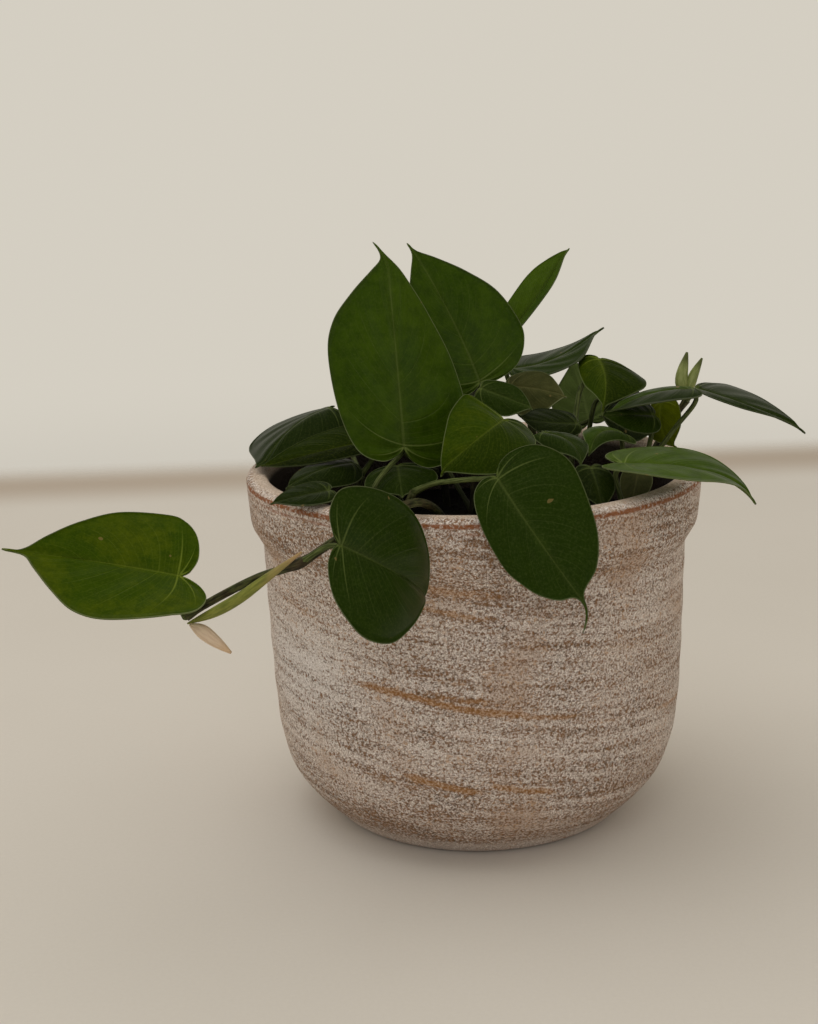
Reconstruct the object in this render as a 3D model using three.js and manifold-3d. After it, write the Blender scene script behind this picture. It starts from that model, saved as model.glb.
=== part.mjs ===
// Heartleaf philodendron in a whitewashed clay pot.
// Millimetres, +Z up. The origin is the centre of the pot's foot, on the surface it stands on;
// -Y is the front, the side that the longest trailing stem leaves over the rim.
//
// The pot is one thrown shell, the potting soil fills it, nine stems with their leaf stalks
// stand in plain holes in the soil, and every heart-shaped blade is a thin solid of its own
// that meets the end of its stalk.

import * as THREE from 'three';
import { mergeVertices } from 'three/addons/utils/BufferGeometryUtils.js';
import Module from 'manifold-3d';

const wasm = await Module();
wasm.setup();

// Driving dimensions of the pot and the soil
const RIM_RADIUS = 80;
const RIM_EDGE_HEIGHT = 123;
const POT_HEIGHT = 125.3;
const MOUTH_RADIUS = 72.5;
const FOOT_RADIUS = 50;
const BODY_TOP_RADIUS = 74.8;
const COLLAR_BOTTOM = 99.5;
const COLLAR_STEP = 6.5;
const FLOOR_THICKNESS = 7;
const POT_SEGMENTS = 48;
const SOIL_LEVEL = 101;
const SOIL_CROWN = 3;
const SOIL_RADIUS = 70.5;
const CLEARANCE = 0.3;

// Driving dimensions of the plant
const BLADE_THICKNESS = 0.7;
const STALK_RADIUS = 0.95;
const STEM_SIDES = 6;
const STALK_SIDES = 5;
const STEM_RING_SPACING = 7;
const STALK_RING_SPACING = 6;
const POD_RING_SPACING = 3;
const POD_TIP_SHARE = 0.3;
const HOLE_DEPTH = 12;
const HOLE_SIDES = 10;

// Rows along and columns across each half of a blade: large blades get the finer grid
const LARGE_BLADE_LENGTH = 36;
const LARGE_GRID = [11, 3];
const SMALL_GRID = [8, 2];

// Where the fan of cross lines at the stalk ends, how fast their roots then run up the midrib, and
// the share of the length over which a hooked tip swings aside
const FAN_SHARE = 0.32;
const RIB_PACE = 1.1;
const HOOK_SHARE = 0.15;

// Every blade: root (the notch, where the stalk meets it) and tip in mm, the way its upper face
// looks, and the two halves as [half width mm, place of the widest line, lobe length, slope at
// the midrib, slope of the edge near the base, slope of the edge near the tip]; places and lobe
// lengths are shares of the blade's length, slopes are degrees, up towards the face. arch and
// droop bend the midrib (degrees), bow swings it to the left and hook its tip alone (mm), drip is
// the share of the length that the thin drip tip takes, full (0 to 1) rounds the blade near its tip,
// and wave is the height of the edge's waves (mm).
const LEAVES = {
  leaf_tall_front: {
    root: [-22.6, -38.9, 139.9], tip: [-27.3, -28.6, 206.6], face: [0.12, -0.99, 0.1],
    left: [22.4, 0.48, 0.06, 8, -14, -15], right: [23.3, 0.12, 0.12, -8, -10, -88],
    arch: 16, droop: -3, hook: 4.2, drip: 0.08, wave: 0.3,
  },
  leaf_tall_back: {
    root: [2.9, -2, 154.8], tip: [-21.3, 8.1, 202.7], face: [0.23, -0.95, 0.19],
    left: [17.3, 0.25, 0.04, 10, -25, -25], right: [22.1, 0.22, 0.04, 0, -8, -12],
    arch: 18, droop: -2, bow: -1.1, hook: 0.4, drip: 0.08, wave: 0.4,
  },
  leaf_spear: {
    root: [11.3, 33.5, 163], tip: [36.2, 40.1, 196.8], face: [-0.8, -0.58, 0.15],
    left: [9.5, 0.5, 0.12, 27, 3, -9], right: [5, 0.55, 0.11, 24, 6, 3],
    arch: 17, bow: -3.4, hook: -0.6, drip: 0.03, wave: 0.2,
  },
  leaf_folded_centre: {
    root: [10.2, -45.8, 149.6], tip: [-11.3, -60.4, 135.2], face: [-0.28, -0.85, 0.45],
    left: [16.1, 0.4, 0.24, 6, 6, -20], right: [16.6, 0.12, 0.05, -1, -9, -23],
    arch: 89, bow: 2.2, hook: 1.5, drip: 0.07, wave: 0.6,
  },
  leaf_over_front_rim: {
    root: [7.5, -74.5, 136.9], tip: [37.3, -98.3, 96.9], face: [-0.05, -0.85, 0.55],
    left: [22.2, 0.19, 0.09, 3, -6, -10], right: [13.7, 0.45, 0.04, 3, -19, -18],
    arch: 11, droop: 10, bow: -0.9, hook: -6, drip: 0.17, full: 0.8, wave: 0.4,
  },
  leaf_over_left_rim: {
    root: [-38.9, -111.8, 126.3], tip: [-15.4, -85.9, 103.9], face: [0.44, -0.67, 0.6],
    left: [23.1, 0.41, 0.11, 31, -8, -23], right: [24.8, 0.24, 0.09, 5, -11, -30],
    arch: 59, droop: -2, bow: -3.1, hook: -1.8, drip: 0.02, wave: 0.4,
  },
  leaf_runner: {
    root: [-86.7, -111.4, 117.5], tip: [-136.7, -119, 128.3], face: [-0.11, -0.53, 0.84],
    left: [26.7, 0.37, 0.17, 19, 20, -25], right: [24.4, 0.11, 0.1, 9, -15, -6],
    arch: -12, bow: -2.1, hook: -0.8, drip: 0.12, wave: 0.5,
  },
  leaf_left_back: {
    root: [-51.3, 9.8, 144.4], tip: [-73.5, -12.9, 127.4], face: [-0.25, -0.33, 0.91],
    left: [15.8, 0.33, 0.04, -6, -62, -21], right: [24.2, 0.57, 0.19, -17, -25, -23],
    arch: 44, droop: -6, bow: -1.7, hook: -3.8, drip: 0.03, wave: 0.5,
  },
  leaf_left_bright: {
    root: [-34.2, -26.8, 139.7], tip: [-71.6, -30.1, 131.5], face: [0.05, -0.37, 0.93],
    left: [7, 0.33, 0.1, 10, -20, -20], right: [11, 0.26, 0.09, 10, -4, -5],
    arch: 14, bow: 0.6, hook: -2, drip: 0.04, wave: 0.4,
  },
  leaf_left_edge: {
    root: [-41, -29, 132.5], tip: [-61.5, -48, 128.5], face: [0.1, -0.1, 1],
    left: [9, 0.3, 0.08, -14, -62, -50], right: [8, 0.3, 0.1, 5, -15, -15],
    arch: 30, drip: 0.05, wave: 0.4,
  },
  leaf_left_low: {
    root: [-47, -54, 129], tip: [-65, -62, 127], face: [0.1, -0.3, 0.9],
    left: [7, 0.3, 0.1, 10, -15, -15], right: [6, 0.3, 0.1, 10, -5, -5],
    arch: 10, drip: 0.05, wave: 0.3,
  },
  leaf_grey_front: {
    root: [-25, -37, 133], tip: [-23, -51, 125.5], face: [0, -0.7, 0.7],
    left: [13, 0.35, 0.1, -4, -20, -20], right: [12, 0.35, 0.1, -4, -20, -20],
    arch: 10, drip: 0.06, wave: 0.3,
  },
  leaf_right_crest: {
    root: [15, 27, 154.7], tip: [47.8, 23.8, 170], face: [0.11, -0.14, 0.98],
    left: [14, 0.14, 0.04, 6, -7, -20], right: [12, 0.6, 0.04, -1, -25, -11],
    arch: -37, droop: 5, bow: -3.2, hook: -1.6, drip: 0.08, wave: 0.4,
  },
  leaf_right_folded: {
    root: [45.4, 10.3, 160], tip: [44.3, -10.4, 143.4], face: [0.17, -0.62, 0.76],
    left: [17, 0.14, 0.04, 0, -35, -5], right: [9, 0.14, 0.2, -27, -55, -60],
    arch: 32, droop: 20, bow: 1.5, hook: 0.7, drip: 0.14, wave: 0.4,
  },
  leaf_olive: {
    root: [13.6, 9, 151], tip: [33.5, 2, 148], face: [0.03, -0.8, 0.6],
    left: [7.5, 0.4, 0.1, -2, -16, -16], right: [11, 0.4, 0.05, -1, -16, -16],
    arch: 8, bow: 1, drip: 0.05, wave: 0.4,
  },
  leaf_grey_centre: {
    root: [3.2, -11.6, 154.2], tip: [20.9, -20.6, 148.5], face: [-0.14, -0.79, 0.59],
    left: [5.5, 0.45, 0.05, -1, -16, -15], right: [6.8, 0.45, 0.05, -2, -17, -16],
    arch: 8, hook: -0.6, drip: 0.04, wave: 0.3,
  },
  leaf_dark_centre: {
    root: [36.1, -8.9, 140.8], tip: [16.2, -15.9, 144.4], face: [0, -0.6, 0.8],
    left: [6.5, 0.5, 0.08, 0, -14, -17], right: [8, 0.5, 0.05, -3, -19, -12],
    arch: 6, bow: 1.1, hook: -1.9, drip: 0.04, wave: 0.3,
  },
  leaf_curl_left: {
    root: [24.4, -31.2, 142], tip: [35.2, -46.3, 133.7], face: [0.18, -0.35, 0.92],
    left: [8.6, 0.18, 0.13, 9, -49, -47], right: [7.8, 0.3, 0.04, 15, -48, -51],
    arch: 39, droop: 3, bow: 3.3, drip: 0.06, wave: 0.3,
  },
  leaf_curl_right: {
    root: [51.3, -18.2, 138.8], tip: [39, -36.5, 134.8], face: [0.15, -0.44, 0.89],
    left: [5.6, 0.14, 0.12, 7, -54, -48], right: [7.1, 0.3, 0.05, 8, -57, -54],
    arch: 58, droop: 4, bow: -3.6, hook: -1, drip: 0.04, wave: 0.3,
  },
  leaf_right_shade: {
    root: [63, -3, 142], tip: [44, -9.5, 143.5], face: [0, -0.55, 0.83],
    left: [9, 0.3, 0.1, 0, -15, -15], right: [9, 0.3, 0.1, 0, -15, -15],
    arch: 10, drip: 0.06, wave: 0.3,
  },
  leaf_right_inward: {
    root: [76.4, -2.1, 150.9], tip: [47.5, -15.1, 145.2], face: [0.02, -0.05, 1],
    left: [10.7, 0.27, 0.03, 8, -23, -19], right: [7, 0.4, 0.05, 6, -25, -14],
    arch: 19, bow: -3.7, hook: -3.6, drip: 0.05, wave: 0.4,
  },
  leaf_right_outward: {
    root: [79.4, 8.9, 149.1], tip: [114.3, -15.9, 137.7], face: [-0.01, -0.02, 1],
    left: [15, 0.14, 0.04, 9, -12, -17], right: [5, 0.24, 0.04, 11, -13, -19],
    arch: 19, droop: 8, bow: -3.8, hook: -1.6, drip: 0.09, wave: 0.4,
  },
  leaf_hanging: {
    root: [67.3, 9.3, 144.7], tip: [70.7, 3.4, 128.7], face: [-0.16, -0.94, 0.29],
    left: [7.5, 0.37, 0.02, -1, -26, -24], right: [6.1, 0.5, 0.02, 0, -24, -27],
    arch: 14, bow: -1.8, hook: 1.7, drip: 0.04, wave: 0.3,
  },
  leaf_over_right_rim: {
    root: [49, -46.5, 134.5], tip: [91, -54.5, 122.3], face: [0, 0.05, 1],
    left: [17, 0.36, 0.14, 20, 2, -8], right: [16, 0.3, 0.14, 10, -18, -22],
    arch: 14, droop: 44, drip: 0.08, wave: 0.5,
  },
  leaf_dark_front: {
    root: [38.5, -46.8, 133.4], tip: [41.5, -58, 121.6], face: [0.3, -0.85, 0.45],
    left: [7, 0.3, 0.1, 0, -15, -15], right: [7, 0.3, 0.1, 0, -15, -15],
    arch: 14, drip: 0.06, wave: 0.3,
  },
  leaf_dark_round: {
    root: [56, -26, 128], tip: [52, -41, 119], face: [0, -0.7, 0.6],
    left: [5.5, 0.35, 0.1, 0, -15, -15], right: [5.5, 0.35, 0.1, 0, -15, -15],
    arch: 10, drip: 0.04, full: 1, wave: 0.2,
  },
  leaf_rear_upright: {
    root: [-24, 26, 146], tip: [-30, 42, 178], face: [0.1, 0.9, 0.2],
    left: [18, 0.3, 0.09, 6, -14, -14], right: [18, 0.3, 0.09, 6, -14, -14],
    arch: 24, bow: 1, drip: 0.08, wave: 0.5,
  },
  leaf_rear_left: {
    root: [-36, 44, 139], tip: [-56, 70, 121], face: [-0.35, 0.5, 0.9],
    left: [15, 0.3, 0.1, 6, -18, -18], right: [15, 0.3, 0.1, 6, -18, -18],
    arch: 40, drip: 0.07, wave: 0.5,
  },
  leaf_rear_over_rim: {
    root: [-6, 60, 142], tip: [-14, 96, 110], face: [-0.1, 0.7, 0.75],
    left: [18, 0.3, 0.1, 6, -16, -16], right: [18, 0.3, 0.1, 6, -16, -16],
    arch: 46, drip: 0.1, wave: 0.5,
  },
  leaf_rear_right: {
    root: [44, 41, 132], tip: [38, 54, 154], face: [0.1, 0.9, 0.3],
    left: [13, 0.3, 0.1, 6, -16, -16], right: [13, 0.3, 0.1, 6, -16, -16],
    arch: 24, drip: 0.08, wave: 0.5,
  },
  leaf_rear_side: {
    root: [50, 29, 142.5], tip: [69, 41, 127.5], face: [0.2, -0.7, 0.7],
    left: [14, 0.3, 0.1, 6, -16, -16], right: [14, 0.3, 0.1, 6, -16, -16],
    arch: 24, drip: 0.07, wave: 0.4,
  },
  leaf_middle: {
    root: [-16, 6, 136], tip: [-40, 26, 132], face: [-0.2, 0.1, 1],
    left: [13, 0.3, 0.1, 6, -14, -14], right: [13, 0.3, 0.1, 6, -14, -14],
    arch: 20, drip: 0.07, wave: 0.4,
  },
};

// Every stem: its radius, where its foot stands in the soil, the points it passes above it, and
// its leaf stalks, each with the number of the stem point that it leaves and the points on its
// way to the blade.
const VINES = {
  vine_runner: {
    radius: 1.7, foot: [-10, -38],
    path: [
      [-9.5, -54, 118], [-17, -74, 129.5], [-29, -91, 129], [-42, -104, 125], [-51, -112, 121],
      [-63, -116, 118], [-78, -118.5, 111], [-84, -119, 107.5],
    ],
    stalks: {
      leaf_over_left_rim: { at: 4, via: [] },
      leaf_runner: { at: 7, via: [[-86, -115, 108.5]] },
    },
  },
  vine_front: {
    radius: 1.6, foot: [-24, -47],
    path: [[-23, -53, 116], [-21.5, -56.5, 124], [-19, -58, 129]],
    stalks: {
      leaf_over_front_rim: { at: 2, via: [[-13, -62, 132.5], [-5, -66.5, 134.5]] },
      leaf_grey_front: { at: 0, via: [[-24, -40, 122]] },
    },
  },
  vine_left: {
    radius: 1.6, foot: [-40, -32],
    path: [[-40, -32, 110], [-39, -31, 120], [-38, -29, 128]],
    stalks: {
      leaf_tall_front: { at: 0, via: [[-35, -47, 119], [-32, -48, 129]] },
      leaf_left_bright: { at: 2, via: [] },
      leaf_left_back: { at: 2, via: [[-42, -8, 131]] },
      leaf_left_edge: { at: 1, via: [] },
      leaf_left_low: { at: 0, via: [[-44, -43, 116]] },
    },
  },
  vine_centre: {
    radius: 1.7, foot: [0, -12],
    path: [[0, -12, 110], [1, -9, 128], [2, -4, 143]],
    stalks: {
      leaf_tall_back: { at: 2, via: [] },
      leaf_folded_centre: { at: 0, via: [[8, -28, 130]] },
      leaf_grey_centre: { at: 1, via: [[4, -8, 140]] },
      leaf_middle: { at: 0, via: [[-8, -2, 122]] },
    },
  },
  vine_right: {
    radius: 1.6, foot: [32, -14],
    path: [[32, -13, 112], [34, -7, 124], [36, 2, 138]],
    stalks: {
      leaf_right_folded: { at: 2, via: [[39, 10, 150]] },
      leaf_olive: { at: 1, via: [[22, 10, 140]] },
      leaf_dark_centre: { at: 1, via: [] },
      leaf_curl_left: { at: 0, via: [[24, -22, 126]] },
    },
  },
  vine_far_right: {
    radius: 1.6, foot: [54, -14],
    path: [[54, -13, 110], [60, -2, 122], [70, 14, 134], [77, 15, 144]],
    stalks: {
      leaf_right_outward: { at: 3, via: [] },
      leaf_right_inward: { at: 1, via: [[70, -2, 136]] },
      leaf_hanging: { at: 2, via: [] },
      leaf_right_shade: { at: 1, via: [] },
      leaf_curl_right: { at: 0, via: [[53, -17, 124]] },
      leaf_dark_round: { at: 0, via: [[56, -18, 117]] },
    },
  },
  vine_front_right: {
    radius: 1.6, foot: [42, -36],
    path: [[43, -38, 108], [45, -43, 113]],
    stalks: {
      leaf_over_right_rim: { at: 1, via: [[48, -49, 122]] },
      leaf_dark_front: { at: 0, via: [[39, -37, 120]] },
    },
  },
  vine_rear: {
    radius: 1.7, foot: [-10, 30],
    path: [[-11, 32, 114], [-12, 34, 124], [-10, 44, 134]],
    stalks: {
      leaf_rear_upright: { at: 1, via: [[-20, 26, 136]] },
      leaf_rear_left: { at: 0, via: [[-26, 36, 122]] },
      leaf_rear_over_rim: { at: 2, via: [] },
    },
  },
  vine_rear_right: {
    radius: 1.7, foot: [24, 30],
    path: [[24, 31, 114], [23, 32, 126], [20, 33, 140]],
    stalks: {
      leaf_spear: { at: 2, via: [[13.4, 33, 150]] },
      leaf_right_crest: { at: 2, via: [] },
      leaf_rear_right: { at: 1, via: [] },
      leaf_rear_side: { at: 0, via: [[40, 30, 122]] },
    },
  },
};

// Soft young growth: tapering pods along a path, fused in one body where they share a root.
const SHOOTS = {
  bud_sheath: {
    colour: 0x9fae63,
    pods: [{
      radius: 1.9,
      points: [
        [-83.4, -120.9, 105.9], [-75.5, -121.9, 109.4], [-68, -121.2, 113.4], [-60.5, -120.2, 118.6],
        [-49.6, -117.6, 126],
      ],
    }],
  },
  dry_sheath: {
    colour: 0xc9a484,
    pods: [{
      radius: 2.5,
      points: [[-81.4, -122.1, 104.9], [-78, -122.8, 103.2], [-74.4, -122.4, 100.4], [-71, -121.6, 97.4]],
    }],
  },
  new_shoot: {
    colour: 0xa9b872,
    pods: [
      { radius: 2.2, points: [[75.5, 14, 145.5], [75, 15, 151.5], [77, 16, 161]] },
      { radius: 1.9, points: [[77, 14.5, 145.5], [79.2, 16, 152], [82.5, 17, 158.6]] },
    ],
  },
};

const catmull = (a, b, c, d, t) => 0.5 * (2 * b + (c - a) * t + (2 * a - 5 * b + 4 * c - d) * t * t
  + (3 * b - a - 3 * c + d) * t * t * t);

// Half of a heart outline at s, from the notch (0) round the lobe to the tip (1), as
// [along, across] with the blade's length and half width as units.
function outline(s, [, widest, lobe], { drip, full = 0 }) {
  const body = 1 - drip;
  const run = body - widest;
  const marks = [
    [0, 0], [-0.62 * lobe, 0.1], [-lobe, 0.36], [widest - 0.87 * (widest + lobe), 0.7],
    [widest - 0.5 * (widest + lobe), 0.92], [widest, 1], [widest + 0.36 * run, 0.88],
    [widest + 0.64 * run, 0.58 + 0.16 * full], [widest + 0.86 * run, 0.27 + 0.2 * full],
    [body, 0.06], [1, 0],
  ];
  const last = marks.length - 1;
  const place = Math.min(s, 1) * last;
  const k = Math.min(Math.floor(place), last - 1);
  const mark = (i, axis) => {
    if (i < 0) return 2 * marks[0][axis] - marks[1][axis];
    if (i > last) return 2 * marks[last][axis] - marks[last - 1][axis];
    return marks[i][axis];
  };
  return [0, 1].map((axis) => catmull(mark(k - 1, axis), mark(k, axis), mark(k + 1, axis),
    mark(k + 2, axis), place - k));
}

const radians = THREE.MathUtils.degToRad;
const vector = (list) => new THREE.Vector3(...list);

// The frame of a blade: its chord, the face's normal and the way to its left.
function bladeFrame({ root, tip, face }) {
  const along = vector(tip).sub(vector(root));
  const chord = along.length();
  along.normalize();
  const normal = vector(face).normalize();
  normal.addScaledVector(along, -normal.dot(along)).normalize();
  return { along, normal, leftward: normal.clone().cross(along), chord };
}

// The midrib as a bent line: its slope falls by arch * a + droop * a^3 degrees from root to tip,
// and it is turned and scaled so that it ends on the chord.
function midrib({ arch = 0, droop = 0 }, chord) {
  const steps = 60;
  const line = [[0, 0]];
  const slope = (a) => -radians(arch * a + droop * a ** 3);
  for (let i = 0; i < steps; i += 1) {
    const angle = slope((i + 0.5) / steps);
    const [x, z] = line[i];
    line.push([x + Math.cos(angle) / steps, z + Math.sin(angle) / steps]);
  }
  const [endX, endZ] = line[steps];
  const turn = -Math.atan2(endZ, endX);
  const length = chord / Math.hypot(endX, endZ);
  return (a) => {
    const inside = THREE.MathUtils.clamp(a, 0, 1);
    const k = Math.min(Math.floor(inside * steps), steps - 1);
    const t = inside * steps - k;
    const x = THREE.MathUtils.lerp(line[k][0], line[k + 1][0], t) + Math.min(a, 0);
    const z = THREE.MathUtils.lerp(line[k][1], line[k + 1][1], t);
    const cos = Math.cos(turn);
    const sin = Math.sin(turn);
    return { x: length * (cos * x - sin * z), z: length * (sin * x + cos * z), slope: slope(inside) + turn };
  };
}

// A point of the blade's middle surface. side is 1 for the left half and -1 for the right, s the
// place along the edge and v the share of the way from the midrib out to it.
function bladePoint(leaf, frame, rib, side, s, v) {
  const half = side > 0 ? leaf.left : leaf.right;
  const [width, , , atRib, edgeBase, edgeTip] = half;
  const [edgeA, edgeB] = outline(s, half, leaf);
  const foot = Math.min(Math.max(0, (s - FAN_SHARE) / (1 - FAN_SHARE)) ** RIB_PACE, 1);
  const a = foot * (1 - v) + edgeA * v;
  const w = edgeB * v;
  const start = radians(atRib);
  let turn = radians(edgeBase + (edgeTip - edgeBase) * THREE.MathUtils.clamp(a, 0, 1)) - start;
  if (Math.abs(turn) < 1e-4) turn = 1e-4;
  const across = width * (Math.sin(start + turn * w) - Math.sin(start)) / turn;
  const rise = width * (Math.cos(start) - Math.cos(start + turn * w)) / turn;
  const ripple = Math.sin(2 * Math.PI * 2.2 * s + (side > 0 ? 0.6 : 2.4)) * Math.sin(Math.PI * s);
  const height = rise + (leaf.wave ?? 0) * v * v * ripple;
  const { x, z, slope } = rib(a);
  const nearTip = Math.max(0, (a - 1 + HOOK_SHARE) / HOOK_SHARE);
  const lateral = side * across + (leaf.bow ?? 0) * 4 * a * (1 - a) + (leaf.hook ?? 0) * nearTip ** 2;
  return vector(leaf.root)
    .addScaledVector(frame.along, x - height * Math.sin(slope))
    .addScaledVector(frame.leftward, lateral)
    .addScaledVector(frame.normal, z + height * Math.cos(slope));
}

// An open surface given as points and triangles becomes a closed solid: every point moves half
// the thickness both ways along its normal, and the open edge is walled.
function thicken(points, triangles, thickness) {
  const normals = points.map(() => new THREE.Vector3());
  for (const [a, b, c] of triangles) {
    const turn = points[b].clone().sub(points[a]).cross(points[c].clone().sub(points[a]));
    for (const k of [a, b, c]) normals[k].add(turn);
  }
  normals.forEach((n) => n.normalize());
  const count = points.length;
  const positions = [];
  for (const way of [0.5, -0.5]) {
    points.forEach((p, i) => {
      positions.push(...p.clone().addScaledVector(normals[i], way * thickness).toArray());
    });
  }
  const index = [];
  const edges = new Map();
  for (const [a, b, c] of triangles) {
    index.push(a, b, c, a + count, c + count, b + count);
    for (const [p, q] of [[a, b], [b, c], [c, a]]) {
      if (edges.has(`${q},${p}`)) edges.delete(`${q},${p}`);
      else edges.set(`${p},${q}`, [p, q]);
    }
  }
  for (const [p, q] of edges.values()) index.push(p, p + count, q + count, p, q + count, q);
  const geometry = new THREE.BufferGeometry();
  geometry.setAttribute('position', new THREE.Float32BufferAttribute(positions, 3));
  geometry.setIndex(index);
  return geometry;
}

// A blade: both halves share the midrib, and rows that start at the notch share that point. The first
// row is that point alone, so the faces start at the next one.
function bladeGeometry(leaf) {
  const frame = bladeFrame(leaf);
  const rib = midrib(leaf, frame.chord);
  const [rows, columns] = frame.chord > LARGE_BLADE_LENGTH ? LARGE_GRID : SMALL_GRID;
  const points = [];
  const known = new Map();
  const number = (point) => {
    const key = point.toArray().map((value) => value.toFixed(3)).join(' ');
    if (!known.has(key)) {
      known.set(key, points.length);
      points.push(point);
    }
    return known.get(key);
  };
  const triangles = [];
  for (const side of [1, -1]) {
    const grid = [];
    for (let i = 0; i <= rows; i += 1) {
      const row = [];
      for (let j = 0; j <= columns; j += 1) {
        row.push(number(bladePoint(leaf, frame, rib, side, i / rows, j / columns)));
      }
      grid.push(row);
    }
    for (let i = 1; i < rows; i += 1) {
      for (let j = 0; j < columns; j += 1) {
        const [a, b, c, d] = [grid[i][j], grid[i][j + 1], grid[i + 1][j + 1], grid[i + 1][j]];
        for (const [p, q, r] of [[a, b, c], [a, c, d]]) {
          if (p !== q && q !== r && r !== p) triangles.push(side > 0 ? [p, r, q] : [p, q, r]);
        }
      }
    }
  }
  return thicken(points, triangles, BLADE_THICKNESS);
}

// A closed tube along a smooth curve through the points; radiusAt gives its radius at share t.
function tube(points, radiusAt, sides, spacing) {
  const curve = new THREE.CatmullRomCurve3(points.map(vector), false, 'centripetal');
  const rings = Math.max(3, Math.round(curve.getLength() / spacing));
  const frames = curve.computeFrenetFrames(rings, false);
  const positions = [];
  const index = [];
  for (let i = 0; i <= rings; i += 1) {
    const centre = curve.getPointAt(i / rings);
    for (let k = 0; k < sides; k += 1) {
      const angle = (2 * Math.PI * k) / sides;
      const out = frames.normals[i].clone().multiplyScalar(Math.cos(angle))
        .addScaledVector(frames.binormals[i], Math.sin(angle));
      positions.push(...centre.clone().addScaledVector(out, radiusAt(i / rings)).toArray());
    }
  }
  for (let i = 0; i < rings; i += 1) {
    for (let k = 0; k < sides; k += 1) {
      const a = i * sides + k;
      const b = i * sides + ((k + 1) % sides);
      index.push(a, b, b + sides, a, b + sides, a + sides);
    }
  }
  const first = positions.length / 3;
  positions.push(...curve.getPointAt(0).toArray(), ...curve.getPointAt(1).toArray());
  const top = rings * sides;
  for (let k = 0; k < sides; k += 1) {
    const next = (k + 1) % sides;
    index.push(first, next, k, first + 1, top + k, top + next);
  }
  const geometry = new THREE.BufferGeometry();
  geometry.setAttribute('position', new THREE.Float32BufferAttribute(positions, 3));
  geometry.setIndex(index);
  return geometry;
}

function toSolid(geometry) {
  const plain = geometry.clone();
  plain.deleteAttribute('normal');
  plain.deleteAttribute('uv');
  const merged = mergeVertices(plain);
  return new wasm.Manifold(new wasm.Mesh({
    numProp: 3,
    vertProperties: new Float32Array(merged.attributes.position.array),
    triVerts: new Uint32Array(merged.index.array),
  }));
}

function fromSolid(solid) {
  const mesh = solid.getMesh();
  const geometry = new THREE.BufferGeometry();
  geometry.setAttribute('position', new THREE.Float32BufferAttribute(mesh.vertProperties, 3));
  geometry.setIndex(new THREE.Uint32BufferAttribute(mesh.triVerts, 1));
  return geometry;
}

// The stem's line from the bottom of its hole: straight up out of the soil, then along its path.
function stemPoints({ foot: [x, y], path }) {
  const rises = [CLEARANCE - HOLE_DEPTH, -6, -2, 3.5];
  return [...rises.map((rise) => [x, y, SOIL_LEVEL + rise]), ...path];
}

// A stem with its leaf stalks. Each stalk starts on the stem's middle line, comes to its blade
// from underneath and ends in a point under the notch.
function vineGeometry(vine) {
  const { radius, path, stalks } = vine;
  const thinning = (t) => radius * (1 - 0.25 * t);
  let solid = toSolid(tube(stemPoints(vine), thinning, STEM_SIDES, STEM_RING_SPACING));
  for (const [name, { at, via }] of Object.entries(stalks)) {
    const leaf = LEAVES[name];
    const { normal, along } = bladeFrame(leaf);
    const below = vector(leaf.root).addScaledVector(normal, -4).addScaledVector(along, -1.5);
    const end = vector(leaf.root).addScaledVector(normal, -(BLADE_THICKNESS / 2 + CLEARANCE));
    const taper = (t) => STALK_RADIUS * (t > 0.98 ? 0.35 : 1.15 - 0.15 * t);
    const points = [path[at], ...via, below.toArray(), end.toArray()];
    solid = solid.add(toSolid(tube(points, taper, STALK_SIDES, STALK_RING_SPACING)));
  }
  return fromSolid(solid);
}

// Pods swell to their radius at a third of their length and run out to a fine point.
function shootGeometry({ pods }) {
  const swell = (t) => {
    const rise = Math.sin(Math.PI * Math.min(1.5 * t, 0.5));
    const fall = Math.cos(2.1 * Math.max(0, t - 1 / 3));
    return POD_TIP_SHARE + (1 - POD_TIP_SHARE) * rise * fall;
  };
  const parts = pods.map(({ radius, points }) => (
    toSolid(tube(points, (t) => radius * swell(t), STEM_SIDES, POD_RING_SPACING))
  ));
  return fromSolid(parts.reduce((sum, part) => sum.add(part)));
}

// Outer line of the pot from the foot to the crown of the lip: a round belly, a body that opens
// slightly, and a collar that steps out under a soft lip.
const outerLine = [
  [FOOT_RADIUS, 0], [FOOT_RADIUS + 2.6, 1.4], [55.1, 4], [59.3, 8], [63, 12], [66, 16], [68.2, 20],
  [70.3, 26], [71.9, 34.5], [72.8, 44], [73.6, 62], [74.2, 80], [BODY_TOP_RADIUS, COLLAR_BOTTOM],
  [BODY_TOP_RADIUS + 3.5, COLLAR_BOTTOM + COLLAR_STEP], [RIM_RADIUS - 0.5, COLLAR_BOTTOM + 14],
  [RIM_RADIUS, RIM_EDGE_HEIGHT], [RIM_RADIUS - 1.6, POT_HEIGHT - 0.5], [RIM_RADIUS - 3.8, POT_HEIGHT],
  [MOUTH_RADIUS + 0.8, POT_HEIGHT - 0.6],
];

// Inner line from the lip down to the floor.
const innerLine = [
  [MOUTH_RADIUS, POT_HEIGHT - 2.4], [MOUTH_RADIUS - 0.8, COLLAR_BOTTOM + 4], [68.2, 88], [67.4, 62],
  [66.6, 44], [64.4, 28], [60.4, 17], [54, 10], [46, FLOOR_THICKNESS],
];

// A line of [radius, height] turned round the upright axis.
const lathe = (line) => new THREE.LatheGeometry(line.map(([r, z]) => new THREE.Vector2(r, z)), POT_SEGMENTS)
  .rotateX(Math.PI / 2);

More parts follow.
